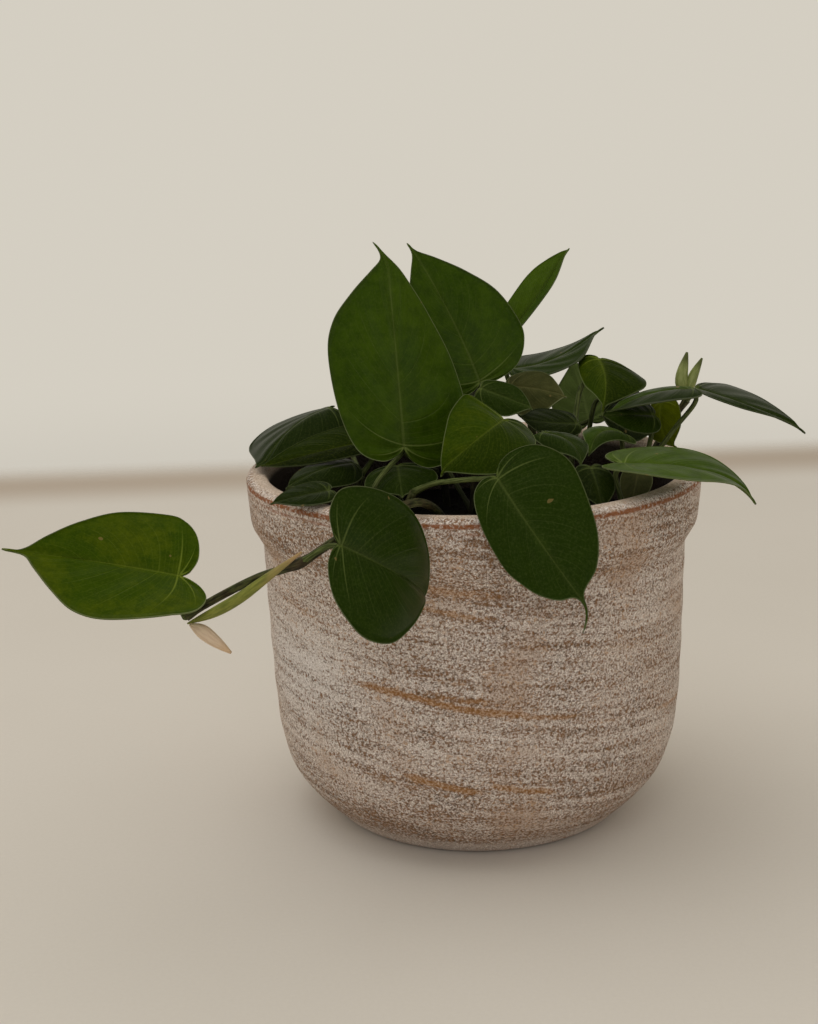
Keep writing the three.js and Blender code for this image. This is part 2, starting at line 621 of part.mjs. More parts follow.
// The soil fills the pot up to its level, stands a little higher in the middle and has a plain
// hole for each stem.
function soilGeometry() {
  const fit = 1.3 * CLEARANCE;
  const wall = innerLine.filter(([, z]) => z < SOIL_LEVEL - 2).map(([r, z]) => [r - fit, z + fit]).reverse();
  const crown = SOIL_LEVEL + SOIL_CROWN;
  const line = [
    [0, FLOOR_THICKNESS + CLEARANCE], ...wall, [SOIL_RADIUS, SOIL_LEVEL - 1],
    [SOIL_RADIUS * 0.93, SOIL_LEVEL], [SOIL_RADIUS * 0.6, crown - 0.3 * SOIL_CROWN],
    [SOIL_RADIUS * 0.3, crown], [0, crown],
  ];
  let solid = toSolid(lathe(line));
  for (const { radius, foot: [x, y] } of Object.values(VINES)) {
    const holeRadius = radius + CLEARANCE;
    const hole = new THREE.CylinderGeometry(holeRadius, holeRadius, HOLE_DEPTH * 2, HOLE_SIDES)
      .rotateX(Math.PI / 2)
      .translate(x, y, SOIL_LEVEL);
    solid = solid.subtract(toSolid(hole));
  }
  return fromSolid(solid);
}

const clay = new THREE.MeshStandardMaterial({ color: 0xb09a88, roughness: 0.95, metalness: 0 });
const earth = new THREE.MeshStandardMaterial({ color: 0x2b211b, roughness: 1, metalness: 0 });
const stemGreen = new THREE.MeshStandardMaterial({ color: 0x5f7040, roughness: 0.6, metalness: 0 });
const bladeGreen = new THREE.MeshStandardMaterial({ color: 0x2f4d23, roughness: 0.45, metalness: 0 });

const plant = new THREE.Group();

function place(name, geometry, material) {
  const mesh = new THREE.Mesh(geometry, material);
  mesh.name = name;
  plant.add(mesh);
}

place('pot', lathe([[0, 0], ...outerLine, ...innerLine, [0, FLOOR_THICKNESS]]), clay);
place('soil', soilGeometry(), earth);
for (const [name, vine] of Object.entries(VINES)) place(name, vineGeometry(vine), stemGreen);
for (const [name, leaf] of Object.entries(LEAVES)) place(name, bladeGeometry(leaf), bladeGreen);
for (const [name, shoot] of Object.entries(SHOOTS)) {
  const skin = new THREE.MeshStandardMaterial({ color: shoot.colour, roughness: 0.6, metalness: 0 });
  place(name, shootGeometry(shoot), skin);
}

export default plant;
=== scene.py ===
# Heartleaf philodendron in a whitewashed clay pot.
# Lengths are millimetres and angles radians, unless a name or a comment says metres or degrees. Z is up, the
# pot's foot stands at the origin and -Y is the front.

import bpy
import numpy as np
from mathutils import Matrix, Vector


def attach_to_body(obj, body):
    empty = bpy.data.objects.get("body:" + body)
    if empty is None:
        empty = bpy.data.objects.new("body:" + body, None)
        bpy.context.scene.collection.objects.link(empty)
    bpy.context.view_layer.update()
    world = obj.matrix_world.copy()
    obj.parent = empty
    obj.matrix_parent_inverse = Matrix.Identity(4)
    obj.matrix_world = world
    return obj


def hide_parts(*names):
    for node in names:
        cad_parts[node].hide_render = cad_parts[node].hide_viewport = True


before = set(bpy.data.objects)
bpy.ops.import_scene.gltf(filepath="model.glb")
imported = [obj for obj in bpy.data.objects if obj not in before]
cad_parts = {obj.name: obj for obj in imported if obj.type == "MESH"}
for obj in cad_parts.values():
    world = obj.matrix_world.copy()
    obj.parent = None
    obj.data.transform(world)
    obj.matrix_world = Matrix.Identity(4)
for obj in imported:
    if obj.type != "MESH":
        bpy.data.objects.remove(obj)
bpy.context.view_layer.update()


# The pot: one thrown shell of terracotta, round bellied, with a collar that steps out under a soft lip. It is
# brushed all round with a chalky whitewash that sits in grains on the rough clay and is worn through in level
# streaks and along the edge of the rim.

METRES = 0.001
# Radius and height of the pot's outline, up the outside to the lip and down the inside
POT_OUTSIDE = [
    (50, 0), (52.6, 1.4), (55.1, 4), (59.3, 8), (63, 12), (66, 16), (68.2, 20), (70.3, 26), (71.9, 34.5),
    (72.8, 44), (73.6, 62), (74.2, 80), (74.8, 98.5), (75.1, 100.4), (77.6, 105.4), (78.6, 107.4),
    (79.4, 113.5), (79.9, 120.5), (80, 123), (79.3, 124.4), (78, 125.1), (76.2, 125.3), (74.4, 125.2),
    (73.1, 124.6),
]
POT_INSIDE = [
    (72.4, 123.4), (71.8, 118), (71.2, 103.5), (68.2, 88), (67.4, 62), (66.6, 44), (64.4, 28), (60.4, 17),
    (54, 10), (46, 7),
]
RIM_RADIUS = 80
POT_HEIGHT = 125.3
POT_ROWS = 230
POT_SIDES = 320
# How deep the wall's waves are, up it and round it, and the heights where they start, are full, begin to fade
# and are gone
UP_WAVE = 0.12
ROUND_WAVE = 0.14
WAVY_HEIGHTS = (4, 24, 106, 118)
# Where the wash is worn to the clay: height at the front, its middle and half length round the pot in degrees
# (0 is the front, 90 the right side), half width, how worn it is
WORN_STREAKS = [
    (60.2, -10, 24, 1.4, 0.8), (63.4, -4, 10, 1.1, 0.62), (60.0, 16, 14, 1.1, 0.6), (58, 34, 12, 1.0, 0.42),
    (56.4, 72, 18, 1.3, 0.5), (68.6, -8, 10, 0.8, 0.5), (64.8, -30, 12, 0.8, 0.4), (28.6, -24, 9, 0.9, 0.5),
    (31.4, -9, 11, 1.6, 0.78), (33.4, 12, 10, 1.4, 0.66), (30.4, 44, 14, 1.0, 0.42), (77, -50, 12, 1.2, 0.42),
    (99.4, -3, 14, 2.6, 0.46), (92, -6, 13, 1.3, 0.56), (46, -42, 14, 0.8, 0.34), (84, 24, 16, 0.8, 0.36),
    (61, 150, 30, 1.4, 0.5), (36, 176, 24, 1.4, 0.5), (84, 196, 26, 1.2, 0.45), (48, 236, 22, 1.4, 0.5),
    (74, 118, 20, 1.2, 0.5), (30, 108, 18, 1.0, 0.45), (92, 268, 16, 1.3, 0.4),
]
WORN_SLANT = 0.16
WORN_WANDER = 0.5
WORN_BENDS = 9
# Where the wash lies thickest: height and half height, bearing and half width in degrees, how thick
THICK_PATCH = (66, 22, 305, 26, 0.35)


def smooth_curve(points, places, power=0.5):
    """Catmull-Rom curve through the points: a place is a point's number plus the share of the way to the
    next. Each span's pace is its length to the power given: 0.5 keeps uneven spans free of loops, 0 is an
    even pace."""
    points = np.asarray(points, float)
    line = np.vstack([2 * points[0] - points[1], points, 2 * points[-1] - points[-2]])
    paces = np.linalg.norm(np.diff(line, axis=0), axis=1) ** power
    k = np.clip(np.floor(places).astype(int), 0, len(points) - 2)
    t = (places - k)[:, None]
    p0, p1, p2, p3 = (line[k + i] for i in range(4))
    g0, g1, g2 = (paces[k + i][:, None] for i in range(3))
    leave = g1 * ((p1 - p0) / g0 - (p2 - p0) / (g0 + g1) + (p2 - p1) / g1)
    arrive = g1 * ((p2 - p1) / g1 - (p3 - p1) / (g1 + g2) + (p3 - p2) / g2)
    bend = 3 * (p2 - p1) - 2 * leave - arrive
    twist = 2 * (p1 - p2) + leave + arrive
    return p1 + leave * t + bend * t ** 2 + twist * t ** 3


def even_curve(points, count):
    """The curve through the points, cut at equal lengths into count - 1 steps."""
    places = np.linspace(0, len(points) - 1, 60 * len(points))
    dense = smooth_curve(points, places)
    walked = np.concatenate([[0], np.cumsum(np.linalg.norm(np.diff(dense, axis=0), axis=1))])
    wanted = np.interp(np.linspace(0, walked[-1], count), walked, places)
    return smooth_curve(points, wanted)


def skin(rings, first, last):
    """A closed surface: each ring of points is stitched to the next, and a fan to a middle point ends it both
    ways. Rings that turn counter-clockwise about the way they advance give faces that point outwards."""
    count, sides = rings.shape[:2]
    points = np.vstack([rings.reshape(-1, 3), first, last])
    here = np.arange(count * sides).reshape(count, sides)
    beside = np.roll(here, -1, axis=1)
    quads = np.stack([here[:-1], beside[:-1], beside[1:], here[1:]], -1).reshape(-1, 4)
    middle = np.full(sides, count * sides)
    fans = np.vstack([
        np.stack([beside[0], here[0], middle], -1),
        np.stack([here[-1], beside[-1], middle + 1], -1),
    ])
    return points, [quads, fans]


def put(name, data):
    """An object of this data, in the scene."""
    made = bpy.data.objects.new(name, data)
    bpy.context.scene.collection.objects.link(made)
    return made


def piece(node, ending, points, faces, materials, slot):
    """A finished object that stands for a CAD node: its mesh in metres, smooth, on the plant's one body."""
    mesh = bpy.data.meshes.new(node + ending)
    mesh.from_pydata((np.asarray(points) * METRES).tolist(), [], [f for part in faces for f in part.tolist()])
    mesh.polygons.foreach_set("use_smooth", np.ones(len(mesh.polygons), bool))
    for material in materials:
        mesh.materials.append(material)
    made = put(node + ending, mesh)
    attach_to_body(made, "root")
    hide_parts(node)
    return made


def attach(made, name, values):
    """Stores one number or one triple of numbers for each point of the mesh, or each corner of its faces."""
    mesh = made.data
    kind, field = ("FLOAT", "value") if values.ndim == 1 else ("FLOAT_VECTOR", "vector")
    domain = "POINT" if len(values) == len(mesh.vertices) else "CORNER"
    mesh.attributes.new(name, kind, domain).data.foreach_set(field, values.astype(np.float32).ravel())


def swatch(red, green, blue):
    """A colour as read off a swatch, 0 to 255, turned into the shader's linear light."""
    share = np.array([red, green, blue]) / 255
    light = np.where(share <= 0.04045, share / 12.92, ((share + 0.055) / 1.055) ** 2.4)
    return (*light.tolist(), 1.0)


class Socket:
    """A value in a shader: arithmetic on it adds Math nodes."""

    def __init__(self, nodes, output):
        self.nodes = nodes
        self.output = output

    def math(self, operation, *values):
        return self.nodes.node("ShaderNodeMath", {"operation": operation}, dict(enumerate(values)))

    def __add__(self, other):
        return self.math("ADD", self, other)

    __radd__ = __add__

    def __mul__(self, other):
        return self.math("MULTIPLY", self, other)

    __rmul__ = __mul__

    def __sub__(self, other):
        return self.math("SUBTRACT", self, other)

    def __rsub__(self, other):
        return self.math("SUBTRACT", other, self)

    def __truediv__(self, other):
        return self.math("DIVIDE", self, other)

    def __rtruediv__(self, other):
        return self.math("DIVIDE", other, self)

    def __abs__(self):
        return self.math("ABSOLUTE", self)

    def fraction(self):
        return self.math("FRACT", self)

    def greater(self, other):
        return self.math("MAXIMUM", self, other)

    def rise(self, low, high):
        """0 below low, 1 above high, and a soft step between them; it falls where low is the larger."""
        settings = {"interpolation_type": "SMOOTHSTEP", "clamp": True}
        values = {"Value": self, "From Min": low, "From Max": high}
        return self.nodes.node("ShaderNodeMapRange", settings, values)


class Nodes:
    """The node tree of a material or of the world around it."""

    def __init__(self, tree):
        self.tree = tree

    def feed(self, socket, value):
        if isinstance(value, Socket):
            self.tree.links.new(value.output, socket)
        else:
            socket.default_value = value

    def node(self, kind, settings, values, output=0):
        """Any node: its settings first, then the value or link of each socket; gives one of its outputs."""
        made = self.tree.nodes.new(kind)
        for name, value in settings.items():
            setattr(made, name, value)
        for key, value in values.items():
            self.feed(made.inputs[key], value)
        return Socket(self, made.outputs[output])

    def mix(self, factor, *colours):
        """Blends two colours; a plain one is as read off a swatch."""
        low, high = (colour if isinstance(colour, Socket) else swatch(*colour) for colour in colours)
        return self.node("ShaderNodeMix", {"data_type": "RGBA"}, {0: factor, 6: low, 7: high}, 2)

    def place(self):
        """Where on the piece, in metres."""
        return self.node("ShaderNodeTexCoord", {}, {}, "Object")

    def carried(self, name, output="Fac"):
        """What attach has stored in the mesh."""
        return self.node("ShaderNodeAttribute", {"attribute_name": name}, {}, output)

    def scaled(self, vector, factors):
        return self.node("ShaderNodeVectorMath", {"operation": "MULTIPLY"}, {0: vector, 1: factors})

    def radius(self, vector):
        """The distance from the upright axis."""
        level = self.scaled(vector, (1, 1, 0))
        return self.node("ShaderNodeVectorMath", {"operation": "LENGTH"}, {0: level}, "Value")

    def axis(self, vector, name):
        return self.node("ShaderNodeSeparateXYZ", {}, {0: vector}, name)

    def noise(self, vector, scale, detail=2.0, roughness=0.5):
        values = {"Vector": vector, "Scale": scale, "Detail": detail, "Roughness": roughness}
        return self.node("ShaderNodeTexNoise", {}, values)

    def bump(self, height):
        """A normal from a height in millimetres."""
        return self.node("ShaderNodeBump", {}, {"Height": height, "Distance": METRES})


class Look(Nodes):
    """A material with one Principled shader."""

    def __init__(self, name, specular):
        self.material = bpy.data.materials.new(name)
        self.material.use_nodes = True
        super().__init__(self.material.node_tree)
        self.shader = self.tree.nodes["Principled BSDF"]
        self.shader.inputs["Specular IOR Level"].default_value = specular

    def paint(self, **inputs):
        """Feeds the shader's other sockets: Base_Color is the socket Base Color."""
        for key, value in inputs.items():
            self.feed(self.shader.inputs[key.replace("_", " ")], value)
        return self.material


# The pot's tones
WASH_DIM = (190, 169, 154)
WASH_BRIGHT = (255, 247, 240)
WASH_STAINED = (188, 156, 130)
WASH_THICK = (240, 239, 240)
WASH_LIP = (205, 184, 162)
CLAY_LIGHT = (142, 102, 66)
CLAY_DARK = (92, 69, 50)
INSIDE_PAINTED_SHADE = (24, 17, 12)
RUST_DARK = (148, 102, 62)
RUST_LIGHT = (198, 152, 102)
RUST_LINE = (146, 86, 44)
# Zones of the pot, in metres: the height or radius where each begins, and the one where it is full
COLLAR_FROM = (0.0985, 0.1060)
COLLAR_TO = (0.1215, 0.1150)
SHADED_FOOT = (0.034, 0.008)
WET_FOOT = (0.008, 0.004)
LIP_IN = (0.0790, 0.0770)
LIP_UP = (0.112, 0.122)
INNER_SHADE_IN = (0.0732, 0.0724)
INNER_SHADE_TO = (0.1240, 0.1200)
INNER_SHADE_FROM = (0.091, 0.095)
EDGE_OUT = (0.0785, 0.0793)
EDGE_HEIGHT = 0.1228
UNDER_EDGE_HEIGHT = 0.1203


def whitewashed_clay():
    """The wash lies in fine grains with the clay dark between them, and faint level lines follow the brush.
    It is thinner on the collar, and near the foot it thins further as painted shade, so that more dark clay
    shows there. Rust shows in crumbs where the wash is worn, in rare spots elsewhere and in two lines along
    the edge of the rim. The inside is painted near-black above the soil, as painted shade."""
    look = Look("whitewashed_clay", 0.2)
    place = look.place()
    x, y, z = (look.axis(place, name) for name in "XYZ")
    height = z + x * WORN_SLANT
    level = look.node("ShaderNodeCombineXYZ", {}, {0: x * 26, 1: y * 26, 2: height * 420})
    speck = look.noise(look.scaled(place, (0.85, 0.85, 1)), 1350, 3.0, 0.68)
    fleck = look.noise(place, 2600, 1.0)
    crumbs = look.noise(place, 700, 1.5)
    brushed = look.noise(level, 1.0)
    blots = look.noise(place, 42)
    worn = look.carried("worn")
    thick = look.carried("thick")
    radius = look.radius(place)
    # Painted shade: the wash thins towards the foot, darkening it; on the collar it is only thinner.
    thinner_collar_shaded_foot = z.rise(*COLLAR_FROM) * z.rise(*COLLAR_TO) * 0.03 + z.rise(*SHADED_FOOT) * 0.05
    film = (brushed - 0.5) * 0.24 + (blots - 0.5) * 0.12 + thick * 0.13 - worn * 0.1 - thinner_collar_shaded_foot
    pits = (speck * 0.8 + crumbs * 0.2 + film).rise(0.562, 0.374)
    wash = look.mix(fleck.rise(0.3, 0.7), WASH_DIM, WASH_BRIGHT)
    wash = look.mix(blots.rise(0.5, 0.75) * 0.55, wash, WASH_STAINED)
    wash = look.mix(thick, wash, WASH_THICK)
    clay = look.mix(crumbs.rise(0.35, 0.65), CLAY_LIGHT, CLAY_DARK)
    colour = look.mix(pits * (0.95 - z.rise(*WET_FOOT) * 0.6), wash, clay)
    rusty = (worn * 1.7 + (crumbs - 0.5) * 1.8 + (brushed + blots - 1) * 0.8 - 0.44).rise(0, 0.5)
    rusty = rusty.greater(crumbs.rise(0.58, 0.65) * blots.rise(0.4, 0.56))
    rust = look.mix(speck.rise(0.35, 0.65), RUST_DARK, RUST_LIGHT)
    colour = look.mix(rusty * (0.55 + pits * 0.38), colour, rust)
    lip = radius.rise(*LIP_IN) * z.rise(*LIP_UP)
    colour = look.mix(lip * 0.55, colour, WASH_LIP)
    # Painted shade: the inside wall above the soil is painted near-black.
    inside = radius.rise(*INNER_SHADE_IN) * z.rise(*INNER_SHADE_TO) * z.rise(*INNER_SHADE_FROM)
    colour = look.mix(inside * 0.93, colour, INSIDE_PAINTED_SHADE)
    outer = radius.rise(*EDGE_OUT)
    edge = abs(z - EDGE_HEIGHT).rise(0.0011, 0.0004) * outer
    under_edge = abs(z - UNDER_EDGE_HEIGHT).rise(0.0009, 0.0003) * outer * brushed.rise(0.4, 0.6)
    line = (edge * blots.rise(0.2, 0.45)).greater(under_edge * 0.7) * crumbs.rise(0.3, 0.5)
    colour = look.mix(line * 0.9, colour, RUST_LINE)
    relief = ((1 - pits) * 0.12 + fleck * 0.05 + brushed * 0.06 - rusty * 0.06) * (1 - lip * 0.6)
    return look.paint(Base_Color=colour, Roughness=0.95 - pits * 0.08, Normal=look.bump(relief))


def worn_map(radius, angle, height):
    """How worn the wash is at each point: the largest of all streaks, each a soft bar along a level line that
    slants down to the right, fading towards its ends."""
    level = height + WORN_SLANT * radius * np.sin(angle)
    worn = np.zeros_like(level)
    for middle, bearing, half_length, half_width, amount in WORN_STREAKS:
        turn = np.degrees(angle) - bearing
        turn = np.abs((turn + 180) % 360 - 180) / half_length
        wander = WORN_WANDER * np.sin((np.radians(bearing) + angle) * WORN_BENDS)
        bar = np.exp(-((level - middle - wander) / half_width) ** 2)
        worn = np.maximum(worn, amount * bar * np.clip(1.4 - turn ** 2, 0, 1))
    return worn


def thrown_pot():
    """The outline turned round the upright axis. The wall swells and sinks by a few tenths of a millimetre in
    slow waves, as a hand-thrown one does. The angle runs from the front to the right side."""
    outline = even_curve(POT_OUTSIDE + POT_INSIDE, POT_ROWS)
    angle = np.linspace(0, 2 * np.pi, POT_SIDES, endpoint=False)[None, :]
    radius, height = outline[:, :1], outline[:, 1:]
    wave = UP_WAVE * np.sin(height * 0.42 + 0.8 * np.sin(angle))
    wave = wave + ROUND_WAVE * np.sin(3 * angle + height * 0.07)
    share = np.interp(height, WAVY_HEIGHTS, (0, 1, 1, 0))
    radius = np.minimum(radius + wave * share, RIM_RADIUS)
    height = np.clip(height + 0 * angle, 0, POT_HEIGHT)
    rings = np.stack([radius * np.sin(angle), -radius * np.cos(angle), height], -1)
    points, faces = skin(rings, [0, 0, 0], [0, 0, POT_INSIDE[-1][1]])
    worn = worn_map(radius, angle + 0 * height, height)
    high, half_high, bearing, half_wide, amount = THICK_PATCH
    away = ((height - high) / half_high) ** 2 + ((np.degrees(angle) - bearing) / half_wide) ** 2
    ends = np.zeros(2)
    made = piece("pot", "_clay", points, faces, [whitewashed_clay()], "pot")
    attach(made, "worn", np.concatenate([worn.ravel(), ends]))
    attach(made, "thick", np.concatenate([amount * np.exp(-away).ravel(), ends]))


thrown_pot()


# The potting soil: near-black peat with crumbs and shreds, damp, filled to a finger below the rim and a
# little higher in the middle, where the stems stand.

SOIL_LEVEL = 101
SOIL_CROWN = 3
SOIL_RADIUS = 70.3
# Radius and height of the soil's side, which follows the pot's inside from its floor up
SOIL_SIDE = [
    (46, 7.3), (53.6, 10.4), (60, 17.4), (64, 28.4), (66.2, 44), (67, 62), (67.8, 88), (70.2, 99),
]
SOIL_RINGS = 110
SOIL_SIDES = 260
CRUMBS = 620
CRUMB_RADII = (1.0, 3.4)
CRUMB_SUNK = 0.35
BETWEEN_CRUMBS = 1.2
PEAT = ((3, 2, 2), (16, 12, 9))


def crumbly_soil():
    """A low crown over which crumbs stand out as half-sunk balls: the height is the highest ball at that
    place. Below it the plain side is turned round the upright axis."""
    draw = np.random.default_rng(7)
    spread = np.sqrt(np.linspace(0.0002, 1, SOIL_RINGS))[::-1]
    angle = np.linspace(0, 2 * np.pi, SOIL_SIDES, endpoint=False)
    x = SOIL_RADIUS * np.outer(spread, np.sin(angle))
    y = -SOIL_RADIUS * np.outer(spread, np.cos(angle))
    crown = SOIL_LEVEL + SOIL_CROWN * np.clip(1 - spread ** 2, 0, 1)[:, None] - BETWEEN_CRUMBS
    size = draw.uniform(*CRUMB_RADII, CRUMBS) * draw.uniform(0.5, 1, CRUMBS)
    bearing = draw.uniform(0, 2 * np.pi, CRUMBS)
    reach = (SOIL_RADIUS - 3) * np.sqrt(draw.uniform(0, 1, CRUMBS))
    away = (x[..., None] - reach * np.sin(bearing)) ** 2 + (y[..., None] + reach * np.cos(bearing)) ** 2
    balls = np.sqrt(np.clip(size ** 2 - away, 0, None)) - CRUMB_SUNK * size
    top = crown + np.clip(balls.max(-1), 0, None)
    radius, height = np.hsplit(np.array(SOIL_SIDE), 2)
    side = np.stack([radius * np.sin(angle), -radius * np.cos(angle), height + 0 * angle], -1)
    rings = np.vstack([side, np.stack([x, y, top], -1)])
    peak = SOIL_LEVEL + SOIL_CROWN - BETWEEN_CRUMBS
    points, faces = skin(rings, [0, 0, SOIL_SIDE[0][1]], [0, 0, peak])
    look = Look("potting_soil", 0.15)
    place = look.place()
    shreds = look.noise(place, 900, 3.0, 0.7)
    clods = look.noise(place, 170)
    colour = look.mix(shreds * 0.6 + clods * 0.4, *PEAT)
    look.paint(Base_Color=colour, Roughness=0.7 + shreds * 0.3, Normal=look.bump(shreds * 0.6))
    piece("soil", "_crumb", points, faces, [look.material], "soil")


crumbly_soil()


# The two tall leaves and the spear behind them: heart-shaped blades, leathery and satin, that stand up from
# the middle of the pot. Every blade is one thin sheet, dished at the midrib, with sunken veins that arch
# from the midrib towards the edge, drawn out in a drip tip.

# A blade is given by its seat: the root and the tip of its midrib and the way its upper side looks; then by
# its left and right half, or one for both. A half has its width, the shares of the length at which it is
# widest and by which its lobe reaches back, and in degrees its slope at the midrib, at the edge by the notch
# and at the edge by the tip. The midrib falls by arch degrees evenly and by droop degrees towards the tip;
# bow moves its middle sideways and hook its tip. drip is the share of the length drawn out as the tip, full
# rounds the blade before it, wave is how high the edge waves, and tint runs from -1, painted shade, to 1,
# young, for the whole blade or for its left and its right half. Below 0 it paints the shade of blades that
# lie deep or under others; above 0 the fresher green also stands for painted light coming through backlit
# blades, and a pair paints the two halves of a bent blade in different light.

BLADE_ROWS = 84
BLADE_COLUMNS = 15
BLADE_MIDDLE = 0.62
BLADE_EDGE = 0.36
COLUMN_PACE = 1.35
RIB_STEPS = 60
FAN_SHARE = 0.32
RIB_PACE = 1.6
HOOK_SHARE = 0.15
WAVES = 2.2
WAVE_STARTS = (0.6, 2.4)
GROOVE_DEPTH = 0.3
GROOVE_WIDTH = 0.9
QUILT_DEPTH = 0.17
QUILT_FULL_WIDTH = 16
VEINS = 7
VEIN_ARCH = 0.08
FINE_VEINS = 5
# Where each blade's stalk meets it, for the stalks that are made later
HEARTS = {}


def heart_edge(widest, lobe, drip, full, places):
    """Half of a heart outline from the notch round the lobe to the tip, as (along, across) in shares of the
    blade's length and half width: a curve through the lobe, the widest place and the drip tip. full moves its
    points before the tip outwards."""
    run = 1 - drip - widest
    reach = widest + lobe
    marks = [
        (0, 0), (-0.62 * lobe, 0.1), (-lobe, 0.36),
        (widest - 0.87 * reach, 0.7), (widest - 0.5 * reach, 0.92), (widest, 1), (widest + 0.36 * run, 0.88),
        (widest + 0.64 * run, 0.58 + 0.16 * full), (widest + 0.86 * run, 0.27 + 0.2 * full),
        (1 - drip, 0.06), (1, 0),
    ]
    return smooth_curve(marks, places * (len(marks) - 1), 0)


def midrib(arch, droop, chord):
    """The midrib as a bent line whose slope falls by arch * a + droop * a ** 3 degrees from root to tip,
    turned and scaled to end on the chord. Gives a function from a to the place along, the height and the
    slope."""
    share = (np.arange(RIB_STEPS) + 0.5) / RIB_STEPS
    fall = -np.radians(arch * share + droop * share ** 3)
    x = np.concatenate([[0], np.cumsum(np.cos(fall))]) / RIB_STEPS
    z = np.concatenate([[0], np.cumsum(np.sin(fall))]) / RIB_STEPS
    turn = -np.arctan2(z[-1], x[-1])
    length = chord / np.hypot(x[-1], z[-1])
    marks = np.linspace(0, 1, RIB_STEPS + 1)

    def at(a):
        inside = np.clip(a, 0, 1)
        here_x = np.interp(inside, marks, x) + np.minimum(a, 0)
        here_z = np.interp(inside, marks, z)
        slope = -np.radians(arch * inside + droop * inside ** 3) + turn
        along = length * (np.cos(turn) * here_x - np.sin(turn) * here_z)
        height = length * (np.sin(turn) * here_x + np.cos(turn) * here_z)
        return along, height, slope

    return at


def heart_sheet(
    root, tip, face, left, right=None, arch=0, droop=0, bow=0, hook=0, drip=0.05, full=0, wave=0.4,
):
    """The blade's middle surface over s, the place along the edge, and v, the way out from the midrib, for
    the left and the right half. Cross lines start fanned at the notch and then run up the midrib. Across a
    half, the slope turns evenly from the one at the midrib to the one at the edge, and the edge has a slow
    wave."""
    root, tip, face = (np.array(at, float) for at in (root, tip, face))
    chord = np.linalg.norm(tip - root)
    along = (tip - root) / chord
    normal = face / np.linalg.norm(face)
    normal -= along * normal.dot(along)
    normal /= np.linalg.norm(normal)
    leftward = np.cross(normal, along)
    rib = midrib(arch, droop, chord)
    s = np.linspace(0, 1, BLADE_ROWS + 1)[:, None]
    v = (np.linspace(0, 1, BLADE_COLUMNS + 1) ** COLUMN_PACE)[None, :]
    foot = np.clip((s - FAN_SHARE) / (1 - FAN_SHARE), 0, 1) ** RIB_PACE
    halves = []
    for side, (width, widest, lobe, *slopes), start in zip((1, -1), (left, right or left), WAVE_STARTS):
        slope_in, slope_base, slope_tip = np.radians(slopes)
        edge = heart_edge(widest, lobe, drip, full, s[:, 0])
        a = foot * (1 - v) + edge[:, :1] * v
        w = edge[:, 1:] * v
        turn = slope_base + (slope_tip - slope_base) * np.clip(a, 0, 1) - slope_in
        turn = np.where(np.abs(turn) < 1e-4, 1e-4, turn)
        across = width * (np.sin(slope_in + turn * w) - np.sin(slope_in)) / turn
        rise = width * (np.cos(slope_in) - np.cos(slope_in + turn * w)) / turn
        ripple = np.sin(2 * np.pi * WAVES * s + start) * np.sin(np.pi * s)
        rib_gap = np.hypot(width * w, np.minimum(a, 0) * chord)
        bent = s - VEIN_ARCH * v * v
        groove = -GROOVE_DEPTH * np.exp(-(rib_gap / GROOVE_WIDTH) ** 2)
        deep = QUILT_DEPTH * np.clip(width / QUILT_FULL_WIDTH, 0, 1.3)
        quilt = -deep * np.cos(2 * np.pi * VEINS * bent) * np.sin(np.pi * v)
        height = rise + wave * v * v * ripple + groove + quilt
        x, z, slope = rib(a)
        near_tip = np.clip((a - 1 + HOOK_SHARE) / HOOK_SHARE, 0, None)
        place = np.stack([
            x - height * np.sin(slope),
            side * across + bow * 4 * a * (1 - a) + hook * near_tip ** 2,
            z + height * np.cos(slope),
        ], -1)
        sheet = root + place @ np.array([along, leftward, normal])
        pace = np.linalg.norm(np.gradient(sheet, axis=0), axis=-1) * BLADE_ROWS
        rim_gap = np.linalg.norm(sheet[:, -1:] - sheet, axis=-1)
        halves.append((sheet, s + 0 * v, side * v + 0 * s, rib_gap, rim_gap, pace))
    return [np.stack(parts) for parts in zip(*halves)], (root, along, normal)


def heart_faces():
    """Faces of both halves: the halves share the midrib, and all rows that start at the notch or end at the
    tip share that point. Gives the point that each place of the plain grid shares, the faces and the rim's
    lines."""
    rows, columns = BLADE_ROWS, BLADE_COLUMNS
    plain = np.arange(2 * (rows + 1) * (columns + 1)).reshape(2, rows + 1, columns + 1)
    shared = plain.copy()
    shared[1, :, 0] = shared[0, :, 0]
    fanned = np.linspace(0, 1, rows + 1) <= FAN_SHARE
    shared[:, fanned, 0] = 0
    shared[:, 0, :] = 0
    shared[:, rows, :] = shared[0, rows, 0]
    left = [(0, 0, 0), (0, 1, 0), (0, 1, 1), (0, 0, 1)]
    right = [(1, 0, 0), (1, 0, 1), (1, 1, 1), (1, 1, 0)]
    quads = np.concatenate([
        np.stack([plain[h, i:rows + i, j:columns + j] for h, i, j in turn], -1).reshape(-1, 4)
        for turn in (left, right)
    ])
    numbers = shared.ravel()
    whole = np.array([len(set(q)) == 4 for q in numbers[quads].tolist()])
    triangles = np.concatenate([quads[~whole][:, [0, 1, 2]], quads[~whole][:, [0, 2, 3]]])
    sound = np.array([len(set(t)) == 3 for t in numbers[triangles].tolist()])
    return numbers, [quads[whole], triangles[sound]], (plain[0, :, -1], plain[1, ::-1, -1])


HEART_NUMBERS, HEART_FACES, HEART_RIM = heart_faces()


